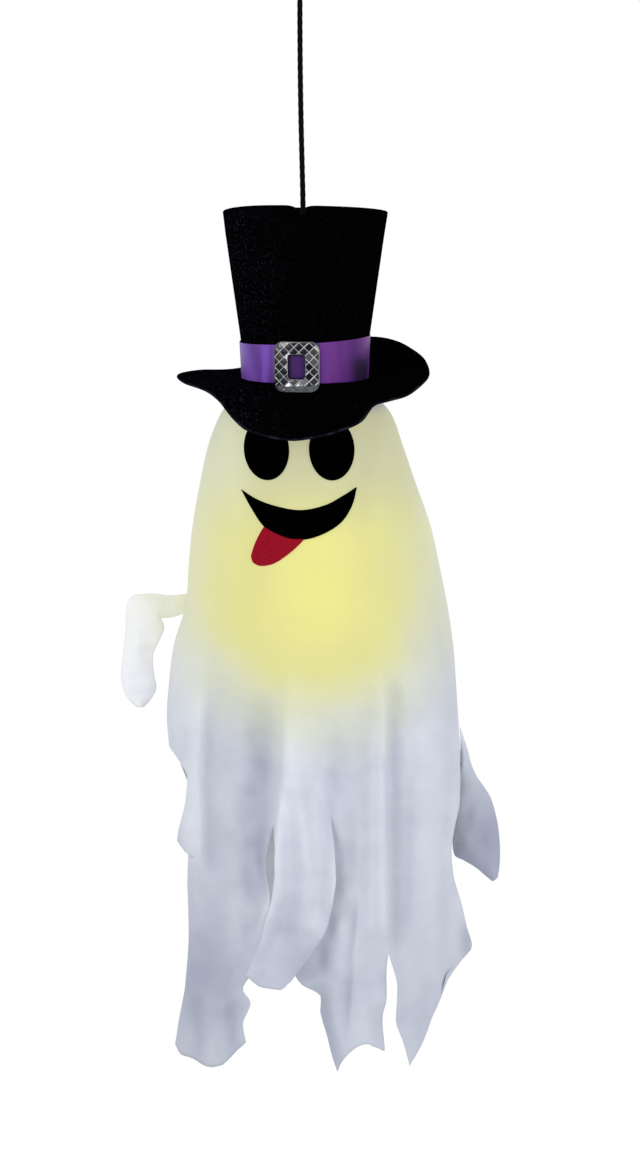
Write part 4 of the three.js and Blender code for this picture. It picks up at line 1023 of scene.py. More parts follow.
def torn_hem(left, middle, right, count, seed, settings):
    """A strip's lower edge from corner to corner, which wanders up and down."""
    hem = rounded([left, *on_skirt(middle, settings.fold_depth / MM), right], count, 0.5)
    fade = np.sin(np.pi * np.arange(count) / (count - 1)) ** 0.5
    hem[:, 2] += wander(count, seed, settings.fray / MM, 5) * fade
    return hem


def patch_between(left, right, top, hem):
    """A surface between four edges: the sum of the two ruled surfaces less the one through its corners."""
    u = np.linspace(0, 1, len(top))[None, :, None]
    v = np.linspace(0, 1, len(left))[:, None, None]
    return (
        left[:, None] * (1 - u) + right[:, None] * u + top[None] * (1 - v) + hem[None] * v
        - left[0] * (1 - u) * (1 - v) - right[0] * u * (1 - v) - left[-1] * (1 - u) * v - right[-1] * u * v
    )


def drape(strips, folds, facing, settings, seed):
    """Points, corner numbers and painted shading of one half of the cloth: the yoke, and a patch between torn
    edges for each strip. A patch takes over the yoke's lowest row, and the points of the slit that it shares
    with the strip before it. Near the skirt's top it is mixed with the plain oval. Then it gets its folds,
    and crumples go over all. The painted shading is painted shade between the folds and painted highlight on
    them."""
    fold_depth = settings.fold_depth / MM
    yoke, row = yoke_of(folds, fold_depth)
    points, numbers = [yoke.reshape(-1, 3)], [numbered(yoke)]
    count = len(points[0])
    slit, slit_rows, slit_edge, slit_numbers = (), 0, None, None
    for n, strip in enumerate(strips):
        first, last = (COLUMN_CELLS * end for end in strip["ends"])
        left = torn_edge(row[first], slit, slit_rows, strip["left"], seed + 7 * n, settings)
        if slit_rows:
            left[:slit_rows + 1] = slit_edge
        slit = strip.get("slit", ())
        right_rows = round(STRIP_ROWS * strip.get("slit_row", 0) / SKIRT_ROWS)
        right = torn_edge(row[last], slit, right_rows, strip["right"], seed + 7 * n + 7, settings)
        hem = torn_hem(left[-1], strip["hem"], right[-1], last - first + 1, seed + 100 + n, settings)
        patch = patch_between(left, right, row[first:last + 1], hem)
        x, below = patch[..., 0], CROWN_LOW - patch[..., 2]
        share = oval_share(x, below, 0.0)
        plain = share * (body_at(SKIRT_DROP)[2] + even_fold(x, below, fold_depth))
        deep = mix(plain, patch[..., 1], smooth_step((below - SKIRT_DROP) / 90))
        patch[..., 1] = np.maximum(deep + share * fold_sum(folds, x, below, 0), SEAM_GAP)
        new = np.ones(patch.shape[:2], bool)
        new[0] = False
        new[:slit_rows + 1, 0] = False
        index = np.zeros(patch.shape[:2], int)
        if slit_rows:
            index[:slit_rows + 1, 0] = slit_numbers
        index[0] = numbers[0][-1, first:last + 1]
        index[new] = count + np.arange(new.sum())
        count += int(new.sum())
        points.append(patch[new])
        numbers.append(index)
        slit_rows, slit_edge, slit_numbers = right_rows, right[:right_rows + 1], index[:right_rows + 1, -1]
    points = np.concatenate(points)
    x, y, z = points.T
    drop = CROWN_LOW - z
    crumpled = smooth_step((drop - 128) / 200) * smooth_step((y - 2) / 20)
    points[:, 1] += crumples(x, z, seed, settings.crumple / MM) * crumpled
    points[:, 1] *= -facing
    faces = np.concatenate([cells(index) for index in numbers])
    return points, faces[:, ::facing], 0.62 + fold_sum(folds, x, drop, 1)


def cloth_uv(points):
    """UV in metres: the way round the body by compass angle, and the height."""
    mean_radius = 120
    turn = np.arctan2(points[:, 1], points[:, 0] - SPIN_X)
    return np.column_stack([turn * mean_radius, points[:, 2]]) * MM


def sleeve_grid(table, down, across, seed, crumple):
    """A sleeve: straight lines between its two edges, bowed forward by a sine across, with crumples. Both
    grow over its first sixth, so that its root is straight."""
    bow = 6
    upper_x, upper_drop, lower_x, lower_drop, back = np.asarray(table, float).T
    upper = rounded(np.column_stack([upper_x, back, -upper_drop]), down + 1)
    lower = rounded(np.column_stack([lower_x, back, -lower_drop]), down + 1)
    u = np.linspace(0, 1, across + 1)[None, :, None]
    grid = mix(upper[:, None], lower[:, None], u)
    grow = np.minimum(1, np.arange(down + 1) / down * 6)[:, None]
    grid[..., 1] -= bow * np.sin(np.pi * u[..., 0]) * grow
    grid[..., 1] += crumples(grid[..., 0], grid[..., 2], seed, 1.2 * crumple) * grow
    grid[..., 2] += CROWN_LOW
    return grid


# The felt face

def felt_patch(place, thickness, fold_depth, across, down):
    """Middle points of a felt shape on the cloth's front, and the way from them to its top side. place(u, v)
    gives a place across and a drop. The points crowd towards the edges, where the two sides curve together as
    a quarter circle."""
    half = thickness / 2
    u, v = (0.5 - 0.5 * np.cos(np.pi * np.linspace(0, 1, n)) for n in (across, down))
    x, drop = place(*np.meshgrid(u, v))
    step = 0.5

    def depth(aside, below):
        return front_depth(x + aside, drop + below, fold_depth)

    slope_x = (depth(step, 0) - depth(-step, 0)) / (2 * step)
    slope_z = (depth(0, -step) - depth(0, step)) / (2 * step)
    normal = unit(np.stack([-slope_x, -np.ones_like(x), -slope_z], axis=-1))
    middle = np.stack([x, -depth(0, 0), CROWN_LOW - drop], axis=-1) + normal * (FELT_GAP + half)
    rim = np.concatenate([middle[0], middle[-1], middle[:, 0], middle[:, -1]])
    rim = rim[::max(1, len(rim) // 160)]
    near = np.linalg.norm(middle[..., None, :] - rim, axis=-1).min(axis=-1)
    near[0] = near[-1] = 0
    near[:, 0] = near[:, -1] = 0
    swell = np.sqrt(1 - (1 - np.clip(near / (1.3 * half), 0, 1)) ** 2)
    return middle, normal * (half * swell)[..., None]


def make_felt(name, place, across, down, material, settings, fold_depth):
    middle, lift = felt_patch(place, settings.felt / MM, fold_depth, across, down)
    faces = cells(numbered(middle))
    points = np.concatenate([(middle + lift).reshape(-1, 3), (middle - lift).reshape(-1, 3)])
    faces = np.concatenate([faces, faces[:, ::-1] + across * down])
    return make_piece(name, points, faces, material, "ghost")


# The hat

def crown_radius(z, settings):
    """Radius of the crown's outside: straight to the ribbon's upper edge, then a wider cone to the rim."""
    band_top = CROWN_LOW + 1 + settings.ribbon_height / MM
    radii = (settings.base_radius, settings.band_radius, settings.top_radius)
    base, band, top = (radius / MM for radius in radii)
    low = mix(base, band, (z - CROWN_LOW) / (band_top - CROWN_LOW))
    high = mix(band, top, (z - band_top) / (CROWN_TOP - band_top))
    return np.where(z < band_top, low, high)


def rounded_box(turn, width, height, corner):
    """Points of a rectangle with round corners at the given turns about its middle."""
    c, s = np.cos(turn), np.sin(turn)
    reach = np.minimum(width / 2 / np.maximum(np.abs(c), 1e-9), height / 2 / np.maximum(np.abs(s), 1e-9))
    x, z = c * reach, s * reach
    corner_x, corner_z = np.sign(x) * (width / 2 - corner), np.sign(z) * (height / 2 - corner)
    outside = (np.abs(x) > np.abs(corner_x)) & (np.abs(z) > np.abs(corner_z))
    away = np.maximum(np.hypot(x - corner_x, z - corner_z), 1e-9)
    return (
        np.where(outside, corner_x + (x - corner_x) / away * corner, x),
        np.where(outside, corner_z + (z - corner_z) / away * corner, z),
    )


def knot_path(x, z, size):
    """A tied knot as a trefoil: it goes twice round the axis while it rises and falls three times by a sine,
    and is drawn in by the square of that sine."""
    turn = full_turn(200)
    rise = np.sin(3 * turn)
    reach = size * (3.9 + 2.1 * np.cos(3 * turn)) * (1 - 0.62 * rise**2)
    return np.column_stack([x + reach * np.cos(2 * turn), reach * np.sin(2 * turn), z + 4.2 * size * rise])


# Operators

class GHOST_OT_stage(bpy.types.Operator):
    """Camera, lights, pale surroundings and floor"""

    bl_idname = "ghost.stage"
    bl_label = "Stage"

    def execute(self, context):
        settings = context.scene.ghost.stage
        scene = context.scene
        scene.view_settings.view_transform = "Standard"
        aim = Vector(settings.aim)
        camera = bpy.data.objects.new("camera", bpy.data.cameras.new("camera"))
        scene.collection.objects.link(camera)
        sensor = 36
        camera.data.sensor_width = sensor
        camera.data.lens = sensor * settings.distance / settings.height
        camera.data.clip_end = 100
        back = Vector((0, -math.cos(settings.elevation), math.sin(settings.elevation)))
        camera.location = aim + back * settings.distance
        camera.rotation_euler = (-back).to_track_quat("-Z", "Y").to_euler()
        scene.camera = camera
        for name, power, place, size in (
            ("key light", settings.key_power, (-1.5, -2.3, 0.5), 1.4),
            ("fill light", settings.fill_power, (2.1, -1.8, -0.4), 1.6),
            ("rim light", settings.rim_power, (0.8, 1.7, 0.7), 1.0),
        ):
            lamp = bpy.data.lights.new(name, "AREA")
            lamp.energy = power
            lamp.size = size
            light = bpy.data.objects.new(name, lamp)
            scene.collection.objects.link(light)
            light.location = place
            light.rotation_euler = (aim - Vector(place)).to_track_quat("-Z", "Y").to_euler()
        self.surroundings(scene, settings)
        self.floor(scene, settings)
        return {"FINISHED"}

    def surroundings(self, scene, settings):
        """White where it is seen, and at the sky's level where it lights the object."""
        world = bpy.data.worlds.new("pale surroundings")
        world.use_nodes = True
        scene.world = world
        tree = Tree(world.node_tree)
        background = world.node_tree.nodes["Background"]
        tree.fill(background.inputs["Color"], (1, 1, 1))
        tree.fill(background.inputs["Strength"], tree.span(tree.seen_directly(), 0, 1, settings.sky, 1.0))

    def floor(self, scene, settings):
        """A disc that takes shadows, and is partly its own light where it is seen."""
        material, tree = new_material("pale floor", (0.86, 0.86, 0.86), 0.9)
        cloud = tree.noise(tree.on_object(), 3.0, 4.0)
        tree.put(base_color=tree.blend(cloud, (0.88, 0.88, 0.88), (0.92, 0.92, 0.92)))
        shine = tree.add("ShaderNodeEmission", {"Color": (1, 1, 1), "Strength": 1.0})
        nodes = material.node_tree.nodes
        mixed = tree.add("ShaderNodeMixShader", {
            0: tree.times(tree.seen_directly(), 0.6), 1: nodes["Principled BSDF"].outputs[0],
            2: shine.outputs[0],
        })
        tree.fill(nodes["Material Output"].inputs["Surface"], mixed.outputs[0])
        floor_radius = 1000
        radius = np.linspace(0, floor_radius, 24)[:, None]
        grid = round_axis(0, radius, full_turn(96)[None, :], settings.floor / MM)
        faces = cells(numbered(grid), False, True)[:, ::-1]
        mesh = bpy.data.meshes.new("floor")
        mesh.from_pydata((grid.reshape(-1, 3) * MM).tolist(), [], faces.tolist())
        mesh.materials.append(material)
        floor = bpy.data.objects.new("floor", mesh)
        scene.collection.objects.link(floor)


class GHOST_OT_cord(bpy.types.Operator):
    """Braided cord with its loop and its two knots"""

    bl_idname = "ghost.cord"
    bl_label = "Hanging cord"

    def execute(self, context):
        settings = context.scene.ghost.cord
        material = kept("cord braid", cord_material, tuple(settings.colour))
        radius = settings.diameter / 2 / MM
        strands, depth = settings.strands, settings.braid
        braid_pitch = 9
        backwards = np.array([0.0, 1.0, 0.0])

        def braid(turn, run):
            """The higher of two cosines, one for the strands that turn each way."""
            wave = 2 * np.pi * run / braid_pitch
            return np.maximum(np.cos(strands * turn + wave), np.cos(strands * turn - wave))

        def relief(turn, run):
            return 1 - depth + depth * braid(turn, run)

        def make(name, path, reference, body, wrap, thickness=1.0, sides=28):
            """A braided tube along a path, with a mark for how high its strands are."""
            grid = tube_of(path, reference, radius * thickness, sides, relief, wrap)
            strand = smooth_step((braid(full_turn(sides)[None, :], run_of(path)[:, None]) + 0.2) / 1.2)
            if not wrap:
                grid = capped(grid)
                strand = np.concatenate([strand[:1], strand, strand[-1:]])
            return make_shell(name, grid, material, body, wrap, {"strand": strand})

        drop = np.linspace(-CORD_TOP, -CORD_LOW, 480)
        path = np.column_stack([smooth_table(CORD_ROUTE, drop)[0], 0 * drop, -drop])
        cord = make("hang_cord", path, backwards, "cord", False)

        turn = full_turn(120)
        half_width, half_height = 8, 14.5
        loop_path = np.column_stack([
            half_width * np.sin(turn) * (1 + 0.25 * np.cos(turn)), 0.6 * np.sin(turn),
            radius - half_height + half_height * np.cos(turn),
        ])
        loop = make("hang_loop", loop_path, backwards, "hanger", True)

        for name, x, z, size, body in (
            ("loop_knot", 0.0, KNOT_Z, 0.88, "knot"), ("cord_end_knot", SPIN_X, END_KNOT_Z, 1.0, "cord"),
        ):
            tied = knot_path(x, z, size)
            outwards = unit(tied - np.array([x, 0, z]))
            make(name, tied, outwards, body, True, 0.92 * size, 22)
        return {"FINISHED"}


class GHOST_OT_crown(bpy.types.Operator):
    """Felt crown of the hat and its top disc"""

    bl_idname = "ghost.crown"
    bl_label = "Hat crown"

    def execute(self, context):
        settings = context.scene.ghost.hat
        felt = settings.felt / MM
        turn = full_turn(144)[None, :]
        self.wall(settings, felt, turn)
        self.top(settings, felt, turn)
        return {"FINISHED"}

    def wall(self, settings, felt, turn):
        """A cone whose rim is a little three-cornered, dented at the back and raised next to the dent."""
        fine_from, dent_at, raised_at = -300, 1.631, 2.4
        z = np.concatenate([
            np.linspace(CROWN_LOW + 0.4, fine_from, 30), np.linspace(fine_from + 3, CROWN_TOP - 1, 18),
        ])[:, None]
        near_rim = smooth_step((z + 292) / 24)
        dent = -3.4 * bell(turn - dent_at, 0.09) * near_rim
        raised = 1.7 * bell(turn - raised_at, 0.75) * near_rim
        radius = crown_radius(z, settings) - felt / 2 + 0.5 * np.sin(3 * turn + 0.7) * near_rim
        grid = round_axis(HAT_X, radius, turn, z + dent + raised)
        make_shell("hat_crown", shell_of(grid, felt), hat_felt(settings), "ghost")

    def top(self, settings, felt, turn):
        """A disc round the cord's hole that sags by the square of the radius, with a groove at its seam."""
        disc_z, hole_radius, disc_radius, seam_radius = -269, 4.4, 79.0, 74
        share = np.linspace(0, 1, 40)[:, None]
        radius = mix(hole_radius, disc_radius, share)
        sag = -1.2 * (1 - share**2) - 0.5 * bell(radius - seam_radius, 1.2)
        grid = round_axis(mix(SPIN_X, HAT_X, share), radius, turn, disc_z + sag)
        make_shell("hat_top", shell_of(grid, felt), hat_felt(settings), "ghost")


class GHOST_OT_brim(bpy.types.Operator):
    """Felt brim, which droops in front and lifts at the right rear"""

    bl_idname = "ghost.brim"
    bl_label = "Hat brim"

    def execute(self, context):
        """A ring from the crown to the table's edge: its height goes by a power of the way out, a low one
        where it droops and a high one where it lifts, with a stitched groove along the edge."""
        settings = context.scene.ghost.hat
        felt = settings.felt / MM
        stitch_from_edge, stitch_depth = 4.5, 0.35
        turn = full_turn(240)
        reach, height = smooth_table(BRIM_EDGE, np.degrees(turn))
        share = (np.linspace(0, 1, 48) ** 1.1)[:, None]
        inner = settings.base_radius / MM - 1.5
        radius = mix(inner, reach[None, :] - felt / 2, share)
        power = mix(1.6, 0.78, smooth_step((4 - height) / 8))[None, :]
        root_z = CROWN_LOW - 0.2 - felt / 2
        from_edge = (1 - share) * (reach[None, :] - inner)
        z = mix(root_z, CROWN_LOW + height[None, :], share**power)
        z = z - stitch_depth * bell(from_edge - stitch_from_edge, 0.7)
        edge_rows = 6
        wall = shell_of(round_axis(HAT_X, radius, turn, z), felt, edge_rows)
        # Painted highlight: a broken pale line along the front of the brim's edge, as lit by the glow below
        wear_and_painted_highlight = np.zeros(wall.shape[:2])
        broken = np.sin(23 * turn) + np.sin(41 * turn + 1) > 0.3
        edge = slice(len(share) - 1, len(share) + edge_rows + 1)
        wear_and_painted_highlight[edge] = smooth_step(-2 * np.sin(turn)) * mix(0.3, 1.0, broken)
        make_shell("hat_brim", wall, hat_felt(settings), "ghost", marks={"wear_and_painted_highlight": wear_and_painted_highlight})
        return {"FINISHED"}


class GHOST_OT_ribbon(bpy.types.Operator):
    """Satin ribbon round the crown"""

    bl_idname = "ghost.ribbon"
    bl_label = "Ribbon"

    def execute(self, context):
        """A band that follows the crown's radius, raised by its creases and tilted up to the right. Its
        creases get painted highlight and shade, and it has painted shade at the lower right of its front and
        in the buckle's window."""
        settings = context.scene.ghost.hat
        light, dark = tuple(settings.ribbon_colour), tuple(settings.ribbon_shade)
        material = kept("satin ribbon", satin_material, light, dark)
        turn = full_turn(320)[None, :]
        share = np.linspace(0, 1, 30)[:, None]
        z = CROWN_LOW - 0.6 + share * (settings.ribbon_height / MM + 0.8) + 0 * turn
        crease = sum(
            height * bell(turn - angle - lean * share, width) for angle, lean, width, height in RIBBON_CREASES
        )
        crease = crease + 0.5 * np.sin(9 * turn + 2 * share) * np.sin(2 * turn)
        radius = crown_radius(z, settings) + 1.0 + 0.3 * crease
        x = HAT_X + radius * np.cos(turn)
        tilt = (0.052 * (x + 60) - 2.6) * share
        thickness, edge_rows = 0.5, 2
        wall = shell_of(round_axis(HAT_X, radius, turn, z + tilt), thickness, edge_rows)
        # Painted highlight on the raised creases and painted shade on the sunk ones
        painted_shading = np.clip(0.78 + 0.4 * crease, 0, 1)
        # Painted shadow at the lower right of the front
        in_front = smooth_step(-3 * np.sin(turn))
        painted_shadow_low_right = smooth_step((x - 36) / 26) * smooth_step((0.85 - share) / 0.5)
        painted_shading = painted_shading * (1 - 0.85 * painted_shadow_low_right * in_front)
        # Painted shade where the ribbon shows through the buckle's window
        window_x, window_half = -3.3, 11
        window = smooth_step((window_half - np.abs(x - window_x)) / 4) * smooth_step((0.95 - share) / 0.1)
        painted_shading = mix(painted_shading, 0.30, window * (np.sin(turn) < 0))
        top, low = (np.repeat(row, edge_rows, axis=0) for row in (painted_shading[-1:], painted_shading[:1]))
        painted_shading = np.concatenate([painted_shading, top, painted_shading[::-1], low])
        make_shell("hat_band", wall, material, "ghost", marks={"painted_shading": painted_shading})
        return {"FINISHED"}


class GHOST_OT_buckle(bpy.types.Operator):
    """Plated buckle with a raised lattice round its window"""

    bl_idname = "ghost.buckle"
    bl_label = "Buckle"

    def execute(self, context):
        """A bevelled frame between two rounded boxes, bent round the crown. Slanting ridges cross on it, and
        the cells between them rise a little and each get their own number for the facet's painted reflection.
        The ridges and rims are also marked for a painted highlight."""
        settings = context.scene.ghost.hat
        material = kept("buckle plating", chrome_material)
        width, height = settings.buckle_width / MM, settings.buckle_height / MM
        window_width, window_height = 16, 23
        back_z, middle_x = -1.1, 8.3
        turn = full_turn(420)[None, :]
        outer = rounded_box(turn, width, height, 10)
        inner = rounded_box(turn, window_width, window_height, 2.5)
        share = np.linspace(0, 1, 52)[:, None]
        x, z = (mix(a, b, share) for a, b in zip(inner, outer))
        border = np.hypot(outer[0] - inner[0], outer[1] - inner[1])
        from_window = share * border
        from_edge = (1 - share) * border
        pitch = settings.lattice_pitch / MM
        p, q = (x + z) / pitch + 0.25, (x - z) / pitch + 0.25
        near = np.minimum(np.abs(p - np.round(p)), np.abs(q - np.round(q))) * pitch / math.sqrt(2)
        ridge_and_painted_highlight = bell(near, 0.36)
        painted_facet_reflection = np.sin(np.floor(p) * 127.1 + np.floor(q) * 311.7) * 43758.5453
        painted_facet_reflection = painted_facet_reflection - np.floor(painted_facet_reflection)
        field = smooth_step((from_edge - 1.6) / 0.8) * smooth_step((from_window - 1.0) / 0.6)
        bevel = np.sqrt(1 - (1 - np.clip(from_edge / 3.2, 0, 1)) ** 2)
        bevel = bevel * np.sqrt(1 - (1 - np.clip(from_window / 1.6, 0, 1)) ** 2)
        rim = bell(from_edge - 1.2, 0.6) + bell(from_window - 0.8, 0.5)
        lift = 1.9 * bevel + field * (settings.lattice_height / MM * ridge_and_painted_highlight + 0.16 * near) + 0.3 * rim
        front = np.stack([x, z, 0.1 + lift], axis=-1)
        back_share = np.linspace(1, 0, 4)[:, None]
        back_x, back_y = (mix(a, b, back_share) for a, b in zip(inner, outer))
        solid = np.concatenate([front, np.stack([back_x, back_y, np.full_like(back_x, back_z)], axis=-1)])

        # Painted reflection: paler cells towards the lower left
        painted_facet_reflection = painted_facet_reflection + 0.45 * smooth_step((-x - 2) / 14) * smooth_step((-z - 4) / 12) * (painted_facet_reflection > 0.45)
        # Painted reflection: the bottom strip one even mid-grey, with no lattice marks on it
        plain = smooth_step((-z - height / 2 + 8) / 1.5)
        field, painted_facet_reflection, ridge_and_painted_highlight = field * (1 - plain), mix(painted_facet_reflection * field, 0.84, plain), ridge_and_painted_highlight * (1 - plain)
        back_tone = np.full_like(back_x, 0.3)
        # Marks for the painted highlight on the ridges and rims, and for the cells' painted reflections
        marks = {
            "ridge_and_painted_highlight": np.concatenate([np.clip(ridge_and_painted_highlight * field + 0.3 * rim, 0, 1), back_tone]),
            "painted_facet_reflection": np.concatenate([painted_facet_reflection, back_tone]),
        }
        middle_z = CROWN_LOW + settings.ribbon_height / MM / 2 - 2.8
        bend = float(crown_radius(np.array(middle_z + height / 2), settings)) + 3.3
        angle = (solid[..., 0] - middle_x) / bend
        reach = bend + solid[..., 2]
        grid = np.stack([
            HAT_X + reach * np.sin(angle), -reach * np.cos(angle), middle_z + solid[..., 1],
        ], axis=-1)
        piece = make_shell("hat_buckle", grid, material, "ghost", marks=marks)
        piece.data.set_sharp_from_angle(angle=math.radians(40))
        return {"FINISHED"}


class GHOST_OT_cloth(bpy.types.Operator):
    """Front and back of the ghost's gauze, torn into strips below"""

    bl_idname = "ghost.cloth"
    bl_label = "Cloth body"

    def execute(self, context):
        settings = context.scene.ghost.cloth
        material = gauze(context.scene.ghost)
        for name, strips, folds, painted_patches, facing, seed, flat in (
            ("drape_front", FRONT_STRIPS, FRONT_FOLDS, FRONT_PAINTED_SHADING, 1, 3, (0.48, 0.77)),
            ("drape_back", BACK_STRIPS, BACK_FOLDS, (), -1, 400, (0.48, 0.73)),
        ):
            points, faces, painted_shading = drape(strips, folds, facing, settings, seed)
            # Painted light and shade: the patches are added to the folds' painted shade and highlight
            painted_shading = painted_shading + painted_shading_sum(painted_patches, points[:, 0], CROWN_LOW - points[:, 2])
            piece = make_piece(
                name, points, faces, material, "ghost", cloth_uv(points),
                {"painted_shading": np.clip(painted_shading, 0, 1)}, weld=False,
            )
            thicken(piece, settings.thickness)
        return {"FINISHED"}


class GHOST_OT_sleeves(bpy.types.Operator):
    """Flat sleeves sewn to the side seams"""

    bl_idname = "ghost.sleeves"
    bl_label = "Sleeves"

    def execute(self, context):
        ghost = context.scene.ghost
        settings = ghost.cloth
        colour = tuple(settings.sleeve_colour)
        pale = kept("pale gauze", cloth_material, colour, shaded(colour, 0.9), settings, ghost.glow)
        for name, table, flat, seed, material, (least, gain, low_z, over) in (
            ("left_sleeve", LEFT_SLEEVE, (0.04, 0.17), 11, pale, (0.5, 0.5, -740, 60)),
            ("right_sleeve", RIGHT_SLEEVE, (0.06, 0.17), 12, gauze(ghost), (0.1, 0.75, -900, 130)),
        ):
            grid = sleeve_grid(table, 90, 28, seed, settings.crumple / MM)
            points = grid.reshape(-1, 3)
            # Painted shade: the sleeve darker towards its lower end
            painted_shading = least + gain * smooth_step((points[:, 2] - low_z) / over)
            faces = cells(numbered(grid))
            piece = make_piece(
                name, points, faces, material, "ghost", points[:, [0, 2]] * MM, {"painted_shading": painted_shading},
                weld=False,
            )
            thicken(piece, settings.thickness)
        return {"FINISHED"}


class GHOST_OT_face(bpy.types.Operator):
    """Felt eyes, mouth and tongue"""

    bl_idname = "ghost.face"
    bl_label = "Felt face"

    def execute(self, context):
        settings = context.scene.ghost.face
        fold_depth = context.scene.ghost.cloth.fold_depth / MM
        black = kept("face felt", felt_material, tuple(settings.felt_colour), paint(26, 24, 30), 0.5)
        red = kept(
            "tongue felt", felt_material, tuple(settings.tongue_colour), paint(196, 60, 78), 0.4, 700.0, 0.35
        )
        width, height = settings.eye_width / MM, settings.eye_height / MM
        eye_drop = 65

        def eye_at(x, lean):
            """A square laid onto an ellipse that leans a little."""
            def place(u, v):
                a, b = 2 * u - 1, 2 * v - 1
                across = a * np.sqrt(1 - b * b / 2) * width / 2
                down = b * np.sqrt(1 - a * a / 2) * height / 2
                return x + across + lean * down, eye_drop + down
            return place

        def between(upper, lower, low=0.008, high=0.992):
            """Straight lines between two smooth curves, at the same share of each."""
            count = 400
            curves = [rounded(line, count) for line in (upper, lower)]

            def place(u, v):
                at = mix(low, high, u) * (count - 1)
                ends = [[np.interp(at, np.arange(count), curve[:, n]) for n in (0, 1)] for curve in curves]
                return mix(ends[0][0], ends[1][0], v), mix(ends[0][1], ends[1][1], v)
            return place

        straight = between(TONGUE_ROOT, TONGUE_TIP, 0, 1)

        def tongue(u, v):
            """The straight tongue, widened by a sine down it."""
            x, drop = straight(u, v)
            return x + 1.6 * np.sin(np.pi * v) * (2 * u - 1), drop

        for name, place, across, down, material, slot in (
            ("left_eye", eye_at(-32.6, 0.02), 44, 56, black, "face_felt"),
            ("right_eye", eye_at(31.2, 0.03), 44, 56, black, "face_felt"),
            ("mouth", between(MOUTH_TOP, MOUTH_LOW), 110, 34, black, "face_felt"),
            ("tongue", tongue, 44, 40, red, "tongue_felt"),
        ):
            make_felt(name, place, across, down, material, settings, fold_depth)
        return {"FINISHED"}


class GHOST_OT_frame(bpy.types.Operator):
    """Hub, wire ribs and hoop that hold the cloth open"""

    bl_idname = "ghost.frame"
    bl_label = "Wire frame"

    def execute(self, context):
        lamp = context.scene.ghost.lamp
        wire = kept("drawn wire", plain_material, tuple(lamp.wire_colour), 0.35, Metallic=0.85)
        plastic = kept("frame plastic", plain_material, paint(222, 222, 217), 0.5)
        self.hub(plastic)
        self.hoop(wire)
        for k in range(4):
            self.rib(f"rib_{k + 1}", np.radians(90 * (k + 0.5)), wire)
        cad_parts["lamp_bracket"].material_slots[0].material = plastic
        return {"FINISHED"}

    def hub(self, material):
        """A turned disc with a step in its top. The cord's hole is round the cord's axis, the rest round the
        hat's."""
        hole, hole_edge, rim = 4.2, 4.6, 48
        profile = [
            (hole, HUB_LOW + 0.8), (hole_edge, HUB_LOW), (rim - 1.2, HUB_LOW), (rim, HUB_LOW + 1.2),
            (rim, HUB_TOP - 1.2), (rim - 1.2, HUB_TOP), (30, HUB_TOP), (29.4, HUB_TOP - 0.5),
            (28, HUB_TOP - 0.5), (27.4, HUB_TOP), (hole_edge, HUB_TOP), (hole, HUB_TOP - 0.8),
        ]
        grid = turned(profile, HAT_X, 96)
        radius = np.array(profile)[:, :1]
        grid[..., 0] += (SPIN_X - HAT_X) * (1 - smooth_step((radius - hole_edge) / 20))
        make_shell("frame_hub", grid, material, "ghost")

    def inside(self, turn, drop, inset=WIRE_INSET):
        """Points at compass angles on the body's oval, moved in from it."""
        middle, half, depth = body_at(drop)
        z = CROWN_LOW - drop + 0 * turn
        return np.stack([middle + (half - inset) * np.cos(turn), (depth - inset) * np.sin(turn), z], axis=-1)

    def hoop(self, material):
        turn = full_turn(160)
        ring = self.inside(turn, np.full_like(turn, HOOP_DROP))
        upwards = np.array([0.0, 0.0, 1.0])
        make_shell("body_hoop", tube_of(ring, upwards, HOOP_WIRE, 14, wrap=True), material, "ghost")

    def rib(self, name, angle, material):
        """A wire from under the hub out along the body and down onto the hoop."""
        out_x, out_y = np.cos(angle), np.sin(angle)
        drops = np.array([row[0] for row in BODY[:-4]], float)
        start = [(HAT_X + r * out_x, r * out_y, HUB_LOW - below) for r, below in ((42, 0.3), (43, 5.3))]
        middle = self.inside(np.full_like(drops, angle), drops, np.where(drops < 20, 12, WIRE_INSET))
        foot_x, foot_y, hoop_z = self.inside(np.array(angle), np.array(HOOP_DROP))
        foot_z = hoop_z + HOOP_WIRE + 0.3
        line = rounded([*start, *middle, (foot_x, foot_y, foot_z + 12), (foot_x, foot_y, foot_z)], 90)
        across = np.array([-out_y, out_x, 0.0])
        make_shell(name, capped(tube_of(line, across, RIB_WIRE, 12)), material, "ghost", False)


